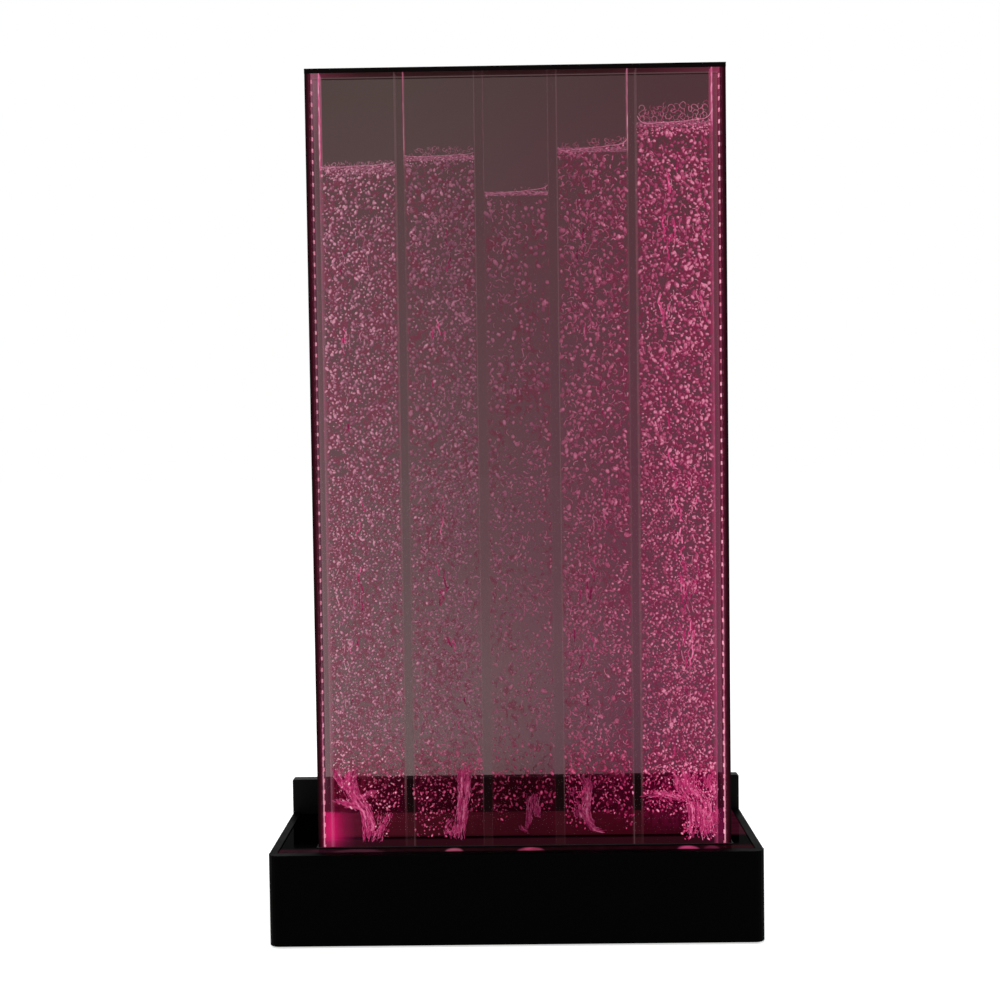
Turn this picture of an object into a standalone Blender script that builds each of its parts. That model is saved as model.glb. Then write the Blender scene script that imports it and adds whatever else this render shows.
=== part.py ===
# Bubble wall panel: a flat clear tank of five water channels, lit from LED strips
# along its two side edges, standing in a low black base that holds the air supply.
# Metres, +Z up, front facing -Y. The origin is on the floor under the base's centre.

import math

import bmesh
import bpy
from mathutils import Vector

# Whole object
total_height = 1.274
base_width = 0.720
base_depth = 0.260
base_height = 0.136
upstand_height = 0.054

# Clearances, and how far a cutter runs past the face it cuts
fit_gap = 0.0003
overrun = 0.002

# Boards of the base
front_board = 0.015
corner_radius = 0.015
side_board = 0.012
rear_board = 0.018
lower_edge_radius = 0.008
upper_edge_radius = 0.0015
bottom_board = 0.006
foot_height = 0.003
foot_width = 0.020
foot_inset = 0.030

# Deck, its slot for the tank and the gasket in that slot
deck_thickness = 0.006
deck_recess = 0.002
slot_margin = 0.003
gasket_lip = 0.001

# Tank
tank_margin = 0.055
tank_offset = 0.013
tank_setback = 0.050
tank_underside = 0.068
sheet = 0.005
channel_depth = 0.035
side_bar = 0.011
divider = 0.0135
centre_channel = 0.094
inner_channel = 0.1025
tank_floor = 0.015
channel_link = 0.006
water_level_shares = (0.885, 0.896, 0.851, 0.903, 0.933)

# Edge trims and the cap
trim_web = 0.0015
trim_plug = 0.0036
trim_flange = 0.0040
flange_thickness = 0.0015
cap_web = 0.002
cap_skirt = 0.0047
cap_rear_skirt = 0.0015
cap_wall = 0.0015

# LED strips
strip_width = 0.010
strip_board = 0.0005
strip_margin = 0.002
led_size = 0.005
led_height = 0.0016
led_pitch = 0.01667

# Cradles under the tank
cradle_width = 0.016
cradle_wall = 0.010
cradle_grip = 0.025

# Air nozzles and the drain elbow, all screwed into the tank's floor
nozzle_stem_radius = 0.0055
nozzle_flange_radius = 0.009
nozzle_flange = 0.004
nozzle_bore_radius = 0.0012
barb_length = 0.012
barb_radius = 0.0025
barb_ridge = 0.0006
barb_step = 0.003
barb_pitch = 0.0042
drain_from_divider = 0.020
elbow_radius = 0.006
elbow_drop = 0.012

# Hoses and leads
hose_radius = 0.003
drain_hose_radius = 0.004
hose_lead = 0.012
hose_run_height = 0.016
hose_spacing = 0.012
wire_radius = 0.0012
wire_spacing = 0.009
wire_lead = 0.006
wire_height = 0.0125
pump_lane = 0.008

# Gang valve and its levers
gang_y = 0.038
gang_depth = 0.016
gang_height = 0.014
gang_lift = 0.014
gang_pitch = 0.022
gang_leg = 0.008
spigot_length = 0.010
boss_radius = 0.005
boss_height = 0.003
lever_hub_radius = 0.0045
lever_hub_height = 0.005
lever_knob_radius = 0.0035
lever_length = 0.016
lever_width = 0.005
lever_thickness = 0.003

# Air pump
pump_hose_length = 0.037
pump_y = 0.040
pump_length = 0.100
pump_width = 0.062
pump_height = 0.052
pump_edge_radius = 0.006
pump_foot_radius = 0.006
pump_foot_height = 0.008
pump_foot_inset = 0.012
pump_spigot_height = 0.021

# LED controller
controller_from_side = 0.133
controller_from_rear = 0.052
controller_length = 0.070
controller_width = 0.040
controller_height = 0.022
controller_edge_radius = 0.002

# Service bay in the rear board, and the plate behind it
bay_width = 0.260
bay_low = 0.024
bay_high = 0.100
plate_thickness = 0.003
plate_margin = 0.012
screw_head_radius = 0.0036
screw_head = 0.003
screw_radius = 0.0018
screw_tip = 0.002
vent_width = 0.004
vent_height = 0.040
vent_pitch = 0.010
vent_count = 8
vent_x = -0.005
fittings_height = 0.064

# Rocker switch
switch_from_inlet = 0.036
bezel_width = 0.015
bezel_height = 0.021
bezel = 0.002
switch_body_width = 0.0125
switch_body_height = 0.0185
switch_body_depth = 0.014
rocker_width = 0.0098
rocker_half = 0.0070
rocker_above = 0.0034
rocker_end_above = 0.0026
rocker_below = 0.002
rocker_pocket_half = 0.0080
rocker_pocket_depth = 0.0040
rocker_axis_height = 0.0005
rocker_tilt = math.radians(8)

# Power inlet
inlet_from_end = 0.032
inlet_flange_radius = 0.0075
inlet_flange = 0.002
inlet_body_radius = 0.006
inlet_body_depth = 0.012
inlet_bore_radius = 0.0032
inlet_bore_depth = 0.010
inlet_pin_radius = 0.001

# Drain valve
drain_from_end = 0.038
drain_stem_radius = 0.005
drain_stem = 0.012
drain_flange_radius = 0.009
drain_flange = 0.002
drain_body_radius = 0.0075
drain_body = 0.011
drain_spout_radius = 0.005
drain_spout_bore_radius = 0.003
drain_spout_length = 0.018
drain_boss_radius = 0.003
drain_boss = 0.001
drain_hub_radius = 0.0055
drain_lever_thickness = 0.0025
drain_lever_width = 0.007
drain_lever_length = 0.026

# Faces around a round piece, and the angle below which a shaded edge is smooth
round_sides = 16
arc_degrees = 18
curve_resolution = 2
smooth_angle = math.radians(35)

# Heights and depths that follow from the sizes above
deck_top = base_height - deck_recess
deck_underside = deck_top - deck_thickness
floor_top = foot_height + bottom_board
inner_front = -base_depth / 2 + front_board
inner_rear = base_depth / 2 - rear_board
inner_side = base_width / 2 - side_board

tank_width = base_width - 2 * tank_margin
tank_depth = channel_depth + 2 * sheet
tank_y = -base_depth / 2 + tank_setback + tank_depth / 2
sheet_height = total_height - tank_underside - cap_web - fit_gap
trim_half_depth = tank_depth / 2 + fit_gap + flange_thickness
sheet_half_width = tank_width / 2 - trim_web - fit_gap
plug_face = tank_width / 2 - trim_web - trim_plug
led_face = plug_face - fit_gap - strip_board - led_height
bar_outer = led_face - 2 * fit_gap
bar_inner = bar_outer - side_bar
slot_half_width = tank_width / 2 + slot_margin
slot_half_depth = trim_half_depth + slot_margin

divider_places = (
    -(centre_channel + divider) / 2 - inner_channel - divider,
    -(centre_channel + divider) / 2,
    (centre_channel + divider) / 2,
    (centre_channel + divider) / 2 + inner_channel + divider,
)
channel_edges = (
    (-bar_inner, divider_places[0] - divider / 2),
    (divider_places[0] + divider / 2, divider_places[1] - divider / 2),
    (divider_places[1] + divider / 2, divider_places[2] - divider / 2),
    (divider_places[2] + divider / 2, divider_places[3] - divider / 2),
    (divider_places[3] + divider / 2, bar_inner),
)
nozzle_places = tuple((left + right) / 2 for left, right in channel_edges)
drain_place = divider_places[0] + drain_from_divider

plate_face = inner_rear - fit_gap
drain_x = -bay_width / 2 + drain_from_end
inlet_x = bay_width / 2 - inlet_from_end
switch_x = inlet_x - switch_from_inlet
gang_outlet_z = floor_top + fit_gap + gang_lift + gang_height / 2
gang_half_length = len(nozzle_places) * gang_pitch / 2
pump_underside = floor_top + pump_foot_height + fit_gap
pump_spigot_z = pump_underside + pump_spigot_height
pump_x = tank_offset + gang_half_length + 2 * spigot_length + pump_hose_length + pump_length / 2
controller_x = -inner_side + controller_from_side
controller_y = inner_rear - controller_from_rear


# Materials

def finish(name, colour, roughness, metallic=0.0, alpha=1.0):
    """A material of one sRGB colour."""
    material = bpy.data.materials.get(name)
    if material:
        return material
    channels = [int(colour[i:i + 2], 16) / 255 for i in (0, 2, 4)]
    linear = [c / 12.92 if c <= 0.04045 else ((c + 0.055) / 1.055) ** 2.4 for c in channels]
    material = bpy.data.materials.new(name)
    material.use_nodes = True
    shader = material.node_tree.nodes["Principled BSDF"]
    shader.inputs["Base Color"].default_value = (*linear, 1.0)
    shader.inputs["Roughness"].default_value = roughness
    shader.inputs["Metallic"].default_value = metallic
    shader.inputs["Alpha"].default_value = alpha
    material.diffuse_color = (*linear, alpha)
    return material


def black_board():
    return finish("black_lacquered_board", "0b0b0a", 0.45)


def gloss_deck():
    return finish("black_gloss_acrylic", "060506", 0.08)


def clear_acrylic():
    return finish("clear_acrylic", "f4eef0", 0.05, alpha=0.25)


def smoked_acrylic():
    return finish("smoked_acrylic", "4a4044", 0.05, alpha=0.85)


def clear_water():
    return finish("water", "e05a90", 0.02, alpha=0.2)


def black_aluminium():
    return finish("black_anodised_aluminium", "0d0c0c", 0.4, metallic=0.6)


def black_rubber():
    return finish("black_rubber", "121212", 0.8)


def black_plastic():
    return finish("black_plastic", "141414", 0.5)


def grey_plastic():
    return finish("grey_plastic", "5a5c60", 0.5)


def red_plastic():
    return finish("red_plastic", "b01818", 0.45)


def strip_finish():
    return finish("led_strip", "f2ece8", 0.5)


def silicone():
    return finish("silicone_hose", "d8dcdc", 0.4)


def wire_finish():
    return finish("wire_sleeve", "1a1a1c", 0.5)


def brass():
    return finish("brass", "b08d4a", 0.3, metallic=1.0)


def steel():
    return finish("zinc_plated_steel", "9a9b9c", 0.35, metallic=1.0)


# Shapes

def add_block(mesh, x, y, z):
    """A box that spans the pairs x, y and z."""
    corners = [mesh.verts.new((cx, cy, cz)) for cz in z for cy in y for cx in x]
    sides = ((0, 2, 3, 1), (4, 5, 7, 6), (0, 1, 5, 4), (2, 6, 7, 3), (0, 4, 6, 2), (1, 3, 7, 5))
    for side in sides:
        mesh.faces.new([corners[i] for i in side])


def on_axis(axis, across, up, along):
    """A point given across, up and along an axis; up is Z unless the axis is Z."""
    if axis == "X":
        return (along, across, up)
    if axis == "Y":
        return (across, along, up)
    return (across, up, along)


def add_prism(mesh, outline, start, end, axis="Z"):
    """A closed outline pushed along an axis from start to end."""
    rings = [[mesh.verts.new(on_axis(axis, u, v, t)) for u, v in outline] for t in (start, end)]
    for i in range(len(outline)):
        j = (i + 1) % len(outline)
        mesh.faces.new((rings[0][i], rings[0][j], rings[1][j], rings[1][i]))
    mesh.faces.new(rings[0])
    mesh.faces.new(rings[1])


def add_turned(mesh, profile, axis="Z", centre=(0, 0, 0), hollow=False):
    """A profile of (radius, place along the axis) turned about the axis; hollow leaves a bore."""
    centre = Vector(centre)
    rings = []
    for radius, along in profile:
        if radius == 0:
            rings.append([mesh.verts.new(centre + Vector(on_axis(axis, 0, 0, along)))])
            continue
        ring = []
        for side in range(round_sides):
            angle = 2 * math.pi * side / round_sides
            place = on_axis(axis, radius * math.cos(angle), radius * math.sin(angle), along)
            ring.append(mesh.verts.new(centre + Vector(place)))
        rings.append(ring)
    pairs = list(zip(rings, rings[1:]))
    if hollow:
        pairs.append((rings[-1], rings[0]))
    for first, second in pairs:
        for side in range(round_sides):
            after = (side + 1) % round_sides
            corners = [first[side % len(first)], first[after % len(first)],
                       second[after % len(second)], second[side % len(second)]]
            mesh.faces.new(list(dict.fromkeys(corners)))
    if not hollow:
        for ring in (rings[0], rings[-1]):
            if len(ring) > 1:
                mesh.faces.new(ring)


def arc(centre, radius, start, end):
    """Points of an arc between two angles in degrees."""
    steps = round((end - start) / arc_degrees)
    angles = [math.radians(start + (end - start) * i / steps) for i in range(steps + 1)]
    return [(centre[0] + radius * math.cos(a), centre[1] + radius * math.sin(a)) for a in angles]


def smooth_route(points, spacing):
    """Points about one spacing apart on a smooth curve through a route's own points."""
    points = [Vector(point) for point in points]
    lengths = [(stop - start).length for start, stop in zip(points, points[1:])]
    slopes = [(stop - start) / length for start, stop, length in zip(points, points[1:], lengths)]
    tangents = [slopes[0]]
    for before, after in zip(slopes, slopes[1:]):
        shared = [2 * p * q / (p + q) if p * q > 0 else 0 for p, q in zip(before, after)]
        tangents.append(Vector(shared))
    tangents.append(slopes[-1])
    route = []
    for i, length in enumerate(lengths):
        steps = max(1, round(length / spacing))
        for step in range(steps):
            t = step / steps
            rise = 3 * t ** 2 - 2 * t ** 3
            leave = (t ** 3 - 2 * t ** 2 + t) * length
            arrive = (t ** 3 - t ** 2) * length
            route.append(points[i].lerp(points[i + 1], rise) + tangents[i] * leave
                         + tangents[i + 1] * arrive)
    route.append(points[-1])
    return route


def settle(piece, material, parent):
    """Gives a new object its material and its parent, and puts it in the scene."""
    piece.data.materials.append(material)
    piece.parent = parent
    bpy.context.scene.collection.objects.link(piece)
    return piece


def add_piece(name, mesh, material, parent, at=(0, 0, 0), smooth=False):
    """Makes an object from a bmesh, with its origin at a place on its parent."""
    bmesh.ops.recalc_face_normals(mesh, faces=mesh.faces)
    data = bpy.data.meshes.new(name)
    mesh.to_mesh(data)
    mesh.free()
    if smooth:
        data.shade_smooth()
        data.set_sharp_from_angle(angle=smooth_angle)
    piece = bpy.data.objects.new(name, data)
    piece.location = at
    return settle(piece, material, parent)


def add_tube(name, route, radius, spacing, material, parent):
    """A round tube along a smooth route, with flat closed ends."""
    data = bpy.data.curves.new(name, "CURVE")
    data.dimensions = "3D"
    data.bevel_depth = radius
    data.bevel_resolution = curve_resolution
    data.use_fill_caps = True
    points = smooth_route(route, spacing)
    spline = data.splines.new("POLY")
    spline.points.add(len(points) - 1)
    for place, point in zip(spline.points, points):
        place.co = (*point, 1)
    return settle(bpy.data.objects.new(name, data), material, parent)


def use_tool(piece, name, mesh, operation):
    """Cuts a piece with a bmesh, or joins the two."""
    tool = add_piece(name, mesh, piece.data.materials[0], piece.parent, at=piece.location)
    tool.hide_render = True
    tool.display_type = "WIRE"
    step = piece.modifiers.new(name, "BOOLEAN")
    step.operation = operation
    step.solver = "EXACT"
    step.object = tool


def cut(piece, name, mesh):
    use_tool(piece, name, mesh, "DIFFERENCE")


def join(piece, name, mesh):
    use_tool(piece, name, mesh, "UNION")


def round_edges(piece, radius, segments=2):
    """Rounds every edge of a piece."""
    step = piece.modifiers.new("round_edges", "BEVEL")
    step.width = radius
    step.segments = segments
    step.limit_method = "ANGLE"


def empty(name, place, parent=None):
    """A frame that pieces are placed in."""
    frame = bpy.data.objects.new(name, None)
    frame.location = place
    frame.parent = parent
    bpy.context.scene.collection.objects.link(frame)
    return frame


# Base housing

def make_front_board(base):
    """Front board, rounded where it meets the sides and along its lower edge."""
    low_y = -base_depth / 2
    radius = min(corner_radius, front_board)
    half = base_width / 2
    outline = [(half, low_y + front_board), (-half, low_y + front_board)]
    outline += arc((-half + radius, low_y + radius), radius, 180, 270)
    outline += arc((half - radius, low_y + radius), radius, 270, 360)
    mesh = bmesh.new()
    add_prism(mesh, outline, foot_height, base_height)
    seam = low_y + front_board

    def edge_at(edge, height):
        return all(abs(v.co.z - height) < fit_gap for v in edge.verts) and any(
            v.co.y < seam - fit_gap for v in edge.verts)

    lower = [edge for edge in mesh.edges if edge_at(edge, foot_height)]
    bmesh.ops.bevel(mesh, geom=lower, offset=lower_edge_radius, segments=3, profile=0.5,
                    affect="EDGES", clamp_overlap=True)
    upper = [edge for edge in mesh.edges if edge_at(edge, base_height)]
    bmesh.ops.bevel(mesh, geom=upper, offset=upper_edge_radius, segments=1, profile=0.5,
                    affect="EDGES", clamp_overlap=True)
    add_piece("front_board", mesh, black_board(), base, smooth=True)


def make_side_board(base, name, side):
    """Side board, with the lower edge rounded like the front's."""
    outer = base_width / 2
    inner = inner_side
    lower = arc((outer - lower_edge_radius, foot_height + lower_edge_radius), lower_edge_radius,
                270, 360)
    outline = [(inner, foot_height)] + lower
    outline += [(outer, base_height - upper_edge_radius),
                (outer - upper_edge_radius, base_height), (inner, base_height)]
    outline = [(side * x, z) for x, z in outline]
    mesh = bmesh.new()
    add_prism(mesh, outline, inner_front + fit_gap, inner_rear - fit_gap, axis="Y")
    add_piece(name, mesh, black_board(), base, smooth=True)


def screw_places():
    """Where the service plate's two screws pass, across and up."""
    across = bay_width / 2 + plate_margin / 2
    up = (bay_low + bay_high) / 2
    return ((-across, up), (across, up))


def make_rear_board(base):
    """Rear board, which rises above the deck, with the service bay cut through it."""
    half = base_width / 2
    top = base_height + upstand_height
    outline = arc((-half + lower_edge_radius, foot_height + lower_edge_radius),
                  lower_edge_radius, 180, 270)
    outline += arc((half - lower_edge_radius, foot_height + lower_edge_radius),
                   lower_edge_radius, 270, 360)
    outline += [(half, top - upper_edge_radius), (half - upper_edge_radius, top),
                (-half + upper_edge_radius, top), (-half, top - upper_edge_radius)]
    mesh = bmesh.new()
    add_prism(mesh, outline, inner_rear, base_depth / 2, axis="Y")
    board = add_piece("rear_board", mesh, black_board(), base, smooth=True)

    mesh = bmesh.new()
    add_block(mesh, (-bay_width / 2, bay_width / 2), (inner_rear - overrun, base_depth / 2 + overrun),
              (bay_low, bay_high))
    cut(board, "bay_cutter", mesh)
    mesh = bmesh.new()
    head = screw_head_radius + fit_gap
    shank = screw_radius + fit_gap
    seat = base_depth / 2 - screw_head - fit_gap
    profile = ((0, inner_rear - overrun), (shank, inner_rear - overrun), (shank, seat),
               (head, seat), (head, base_depth / 2 + overrun), (0, base_depth / 2 + overrun))
    for x, z in screw_places():
        add_turned(mesh, profile, axis="Y", centre=(x, 0, z))
    cut(board, "screw_hole_cutter", mesh)


def make_bottom_plate(base):
    mesh = bmesh.new()
    across = inner_side - fit_gap
    add_block(mesh, (-across, across), (inner_front + fit_gap, inner_rear - fit_gap),
              (foot_height, floor_top))
    add_piece("bottom_plate", mesh, black_board(), base)


def make_foot(base, name, side):
    """Rubber strip along the bottom plate, near its front or rear edge."""
    half = base_width / 2 - foot_inset
    centre = side * (base_depth / 2 - foot_inset)
    mesh = bmesh.new()
    add_block(mesh, (-half, half), (centre - foot_width / 2, centre + foot_width / 2),
              (0, foot_height - fit_gap))
    add_piece(name, mesh, black_rubber(), base)


def make_deck(base):
    """Glossy deck plate with the slot that the tank passes through."""
    mesh = bmesh.new()
    across = inner_side - fit_gap
    add_block(mesh, (-across, across), (inner_front + fit_gap, inner_rear - fit_gap),
              (deck_underside, deck_top))
    deck = add_piece("deck_plate", mesh, gloss_deck(), base)
    mesh = bmesh.new()
    add_block(mesh, (tank_offset - slot_half_width, tank_offset + slot_half_width),
              (tank_y - slot_half_depth, tank_y + slot_half_depth),
              (deck_underside - overrun, deck_top + overrun))
    cut(deck, "slot_cutter", mesh)


def make_gasket(tank):
    """Rubber frame between the deck's slot and the tank."""
    low = deck_underside - tank_underside
    high = deck_top + gasket_lip - tank_underside
    outer_x = slot_half_width - fit_gap
    outer_y = slot_half_depth - fit_gap
    inner_x = tank_width / 2 + fit_gap
    inner_y = trim_half_depth + fit_gap
    mesh = bmesh.new()
    add_block(mesh, (-outer_x, outer_x), (-outer_y, outer_y), (low, high))
    gasket = add_piece("slot_gasket", mesh, black_rubber(), tank)
    mesh = bmesh.new()
    add_block(mesh, (-inner_x, inner_x), (-inner_y, inner_y), (low - overrun, high + overrun))
    cut(gasket, "gasket_cutter", mesh)


def make_cradle(tank, name, side):
    """Notched block that the tank stands in."""
    floor = floor_top + fit_gap - tank_underside
    notch = tank_depth / 2 + fit_gap
    outer = notch + cradle_wall
    outline = [(-outer, floor), (outer, floor), (outer, cradle_grip), (notch, cradle_grip),
               (notch, -fit_gap), (-notch, -fit_gap), (-notch, cradle_grip), (-outer, cradle_grip)]
    centre = side * (nozzle_places[-1] + tank_width / 2) / 2
    mesh = bmesh.new()
    add_prism(mesh, outline, centre - cradle_width / 2, centre + cradle_width / 2, axis="X")
    add_piece(name, mesh, black_plastic(), tank)


# Tank

def make_sheet(tank, name, side, material):
    """One of the two large faces of the tank."""
    inner = channel_depth / 2
    span = sorted((side * inner, side * (inner + sheet)))
    mesh = bmesh.new()
    add_block(mesh, (-sheet_half_width, sheet_half_width), span, (0, sheet_height))
    add_piece(name, mesh, material, tank)


def make_bar(tank, name, x, z):
    """An upright strip between the two sheets."""
    half = channel_depth / 2 - fit_gap
    mesh = bmesh.new()
    add_block(mesh, x, (-half, half), z)
    add_piece(name, mesh, clear_acrylic(), tank)


def make_tank_floor(tank):
    """Floor of the tank, bored for the five nozzles and the drain."""
    across = bar_inner - fit_gap
    half = channel_depth / 2 - fit_gap
    mesh = bmesh.new()
    add_block(mesh, (-across, across), (-half, half), (0, tank_floor))
    floor = add_piece("tank_floor", mesh, black_plastic(), tank)
    mesh = bmesh.new()
    radius = nozzle_stem_radius + fit_gap
    profile = ((0, -overrun), (radius, -overrun), (radius, tank_floor + overrun),
               (0, tank_floor + overrun))
    for x in nozzle_places + (drain_place,):
        add_turned(mesh, profile, centre=(x, 0, 0))
    cut(floor, "nozzle_cutter", mesh)


def make_water(tank):
    """The water: five columns that meet in the gap under the dividers."""
    floor = tank_floor + fit_gap
    link = tank_floor + channel_link - fit_gap
    inner_height = sheet_height - tank_floor
    outline = [(channel_edges[0][0] + fit_gap, floor), (channel_edges[-1][1] - fit_gap, floor)]
    for (left, right), share in reversed(list(zip(channel_edges, water_level_shares))):
        level = tank_floor + inner_height * share
        if right != channel_edges[-1][1]:
            outline.append((right - fit_gap, link))
        outline += [(right - fit_gap, level), (left + fit_gap, level)]
        if left != channel_edges[0][0]:
            outline.append((left + fit_gap, link))
    half = channel_depth / 2 - fit_gap
    mesh = bmesh.new()
    add_prism(mesh, outline, -half, half, axis="Y")
    add_piece("water", mesh, clear_water(), tank)


def make_trim(tank, name, side):
    """Black edge trim: a web, a flange over each sheet and a plug between them."""
    web_outer = tank_width / 2
    web_inner = web_outer - trim_web
    flange_end = web_inner - trim_flange
    flange_inner = tank_depth / 2 + fit_gap
    plug_half = channel_depth / 2 - fit_gap
    outline = [(web_outer, -trim_half_depth), (web_outer, trim_half_depth),
               (flange_end, trim_half_depth), (flange_end, flange_inner), (web_inner, flange_inner),
               (web_inner, plug_half), (plug_face, plug_half), (plug_face, -plug_half),
               (web_inner, -plug_half), (web_inner, -flange_inner), (flange_end, -flange_inner),
               (flange_end, -trim_half_depth)]
    mesh = bmesh.new()
    add_prism(mesh, [(side * x, y) for x, y in outline], 0, sheet_height)
    add_piece(name, mesh, black_aluminium(), tank)


def make_led_strip(tank, name, side):
    """LED strip on the trim's plug: a thin board with its row of LEDs, facing the tank."""
    board_outer = plug_face - fit_gap
    board_inner = board_outer - strip_board
    low = strip_margin
    high = sheet_height - strip_margin
    count = int((high - low - led_size) / led_pitch) + 1
    first = (low + high) / 2 - (count - 1) * led_pitch / 2
    mesh = bmesh.new()
    add_block(mesh, sorted((side * board_outer, side * board_inner)),
              (-strip_width / 2, strip_width / 2), (low, high))
    strip = add_piece(name, mesh, strip_finish(), tank)
    root = (board_outer + board_inner) / 2
    mesh = bmesh.new()
    for i in range(count):
        z = first + i * led_pitch
        add_block(mesh, sorted((side * root, side * led_face)),
                  (-led_size / 2, led_size / 2), (z - led_size / 2, z + led_size / 2))
    join(strip, name + "_leds", mesh)


def make_cap(tank):
    """Channel that covers the tank's top edge and lifts off; its rear skirt is the shorter one."""
    inner = trim_half_depth + fit_gap
    outer = inner + cap_wall
    outline = [(-outer, -cap_skirt), (-inner, -cap_skirt), (-inner, 0), (inner, 0),
               (inner, -cap_rear_skirt), (outer, -cap_rear_skirt), (outer, cap_web), (-outer, cap_web)]
    mesh = bmesh.new()
    add_prism(mesh, outline, -tank_width / 2, tank_width / 2, axis="X")
    add_piece("top_cap", mesh, black_aluminium(), tank, at=(0, 0, sheet_height + fit_gap))


# Air nozzles and drain elbow

def barb_profile(start, direction):
    """Outside of a hose barb of two ridges, from its root to its tip."""
    profile = [(barb_radius, start)]
    for ridge in range(2):
        root = start + direction * (barb_step + ridge * barb_pitch)
        profile += [(barb_radius + barb_ridge, root), (barb_radius, root + direction * barb_step)]
    profile.append((barb_radius, start + direction * barb_length))
    return profile


def make_nozzle(tank, number, x):
    """Nozzle screwed up into the tank's floor, bored through for the air."""
    flange_low = -fit_gap - nozzle_flange
    profile = [(nozzle_bore_radius, flange_low - barb_length)]
    profile += reversed(barb_profile(flange_low, -1))
    profile += [(nozzle_flange_radius, flange_low), (nozzle_flange_radius, -fit_gap),
                (nozzle_stem_radius, -fit_gap), (nozzle_stem_radius, tank_floor),
                (nozzle_bore_radius, tank_floor)]
    mesh = bmesh.new()
    add_turned(mesh, profile, hollow=True)
    add_piece(f"air_nozzle_{number}", mesh, black_plastic(), tank, at=(x, 0, 0), smooth=True)


def make_drain_elbow(tank):
    """Drain elbow: a stem up through the tank's floor, and a barb to the rear."""
    low = -fit_gap - 2 * elbow_drop
    profile = ((0, low), (elbow_radius, low), (elbow_radius, -fit_gap),
               (nozzle_stem_radius, -fit_gap), (nozzle_stem_radius, tank_floor), (0, tank_floor))
    mesh = bmesh.new()
    add_turned(mesh, profile)
    place = (drain_place, 0, 0)
    elbow = add_piece("drain_elbow", mesh, black_plastic(), tank, at=place, smooth=True)
    mesh = bmesh.new()
    end = elbow_radius + barb_length
    ridge = barb_radius + barb_ridge
    add_turned(mesh, ((0, 0), (barb_radius, 0), (barb_radius, end - barb_step), (ridge, end - barb_step),
                      (barb_radius, end), (0, end)), axis="Y", centre=(0, 0, low / 2))
    join(elbow, "elbow_barb", mesh)


# Gang valve, hoses and pump

def make_gang_valve(base):
    """Bar on two legs, with five outlets to the front, a seat for each lever and one inlet."""
    low = floor_top + fit_gap + gang_lift
    high = low + gang_height
    foot = floor_top + fit_gap
    half = gang_half_length
    outline = [(-half, foot), (-half + gang_leg, foot), (-half + gang_leg, low),
               (half - gang_leg, low), (half - gang_leg, foot), (half, foot), (half, high),
               (-half, high)]
    mesh = bmesh.new()
    add_prism(mesh, outline, -gang_depth / 2, gang_depth / 2, axis="Y")
    valve = add_piece("gang_valve", mesh, grey_plastic(), base, at=(tank_offset, gang_y, 0))
    mesh = bmesh.new()
    outlet = gang_depth / 2 + spigot_length
    for x in gang_places():
        add_turned(mesh, ((0, 0), (barb_radius, 0), (barb_radius, -outlet), (0, -outlet)),
                   axis="Y", centre=(x, 0, gang_outlet_z))
    inlet = half + spigot_length
    add_turned(mesh, ((0, half - gang_leg / 2), (barb_radius, half - gang_leg / 2),
                      (barb_radius, inlet), (0, inlet)), axis="X", centre=(0, 0, gang_outlet_z))
    join(valve, "gang_spigots", mesh)
    mesh = bmesh.new()
    middle = (low + high) / 2 + barb_radius + overrun
    seat = high + boss_height
    for x in gang_places():
        add_turned(mesh, ((0, middle), (boss_radius, middle), (boss_radius, seat), (0, seat)),
                   centre=(x, 0, 0))
    join(valve, "gang_seats", mesh)


def gang_places():
    """Outlets of the gang valve, counted along it from its centre."""
    count = len(nozzle_places)
    return [(i - (count - 1) / 2) * gang_pitch for i in range(count)]


def lever_outline(hub_radius, width, length):
    """A round hub with an arm that ends in a half circle, pointing along -v."""
    neck = math.degrees(math.asin(width / 2 / hub_radius))
    hub = arc((0, 0), hub_radius, -90 + neck, 270 - neck)
    tip = arc((0, -length + width / 2), width / 2, 180, 360)
    return hub + tip


def make_flow_lever(base, number, x):
    """Lever that throttles one channel's air; its origin is on its axis."""
    seat = gang_outlet_z + gang_height / 2 + boss_height + fit_gap
    mesh = bmesh.new()
    add_prism(mesh, lever_outline(lever_hub_radius, lever_width, lever_length), 0, lever_thickness)
    place = (tank_offset + x, gang_y, seat)
    lever = add_piece(f"flow_lever_{number}", mesh, red_plastic(), base, at=place, smooth=True)
    mesh = bmesh.new()
    low = lever_thickness / 2
    add_turned(mesh, ((0, low), (lever_knob_radius, low), (lever_knob_radius, lever_hub_height),
                      (0, lever_hub_height)))
    join(lever, f"flow_lever_hub_{number}", mesh)


def make_air_hose(base, number, start_x, end_x):
    """Hose from a nozzle down to the bottom plate, over to the gang valve and up into it."""
    start = Vector((start_x, tank_y, tank_underside - 2 * fit_gap - nozzle_flange - barb_length))
    end = Vector((end_x, gang_y - gang_depth / 2 - spigot_length - fit_gap, gang_outlet_z))
    below = start - Vector((0, 0, hose_lead))
    before = end - Vector((0, hose_lead, 0))
    route = [start, below]
    route_shares = ((0.06, 0.30, 0.28), (0.24, 0.55, 0.0), (0.76, 0.70, 0.0))
    for across, back, height in route_shares:
        route.append(Vector((below.x + (before.x - below.x) * across,
                             below.y + (before.y - below.y) * back,
                             hose_run_height + (below.z - hose_run_height) * height)))
    route += [before, end]
    add_tube(f"air_hose_{number}", route, hose_radius, hose_spacing, silicone(), base)


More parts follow.
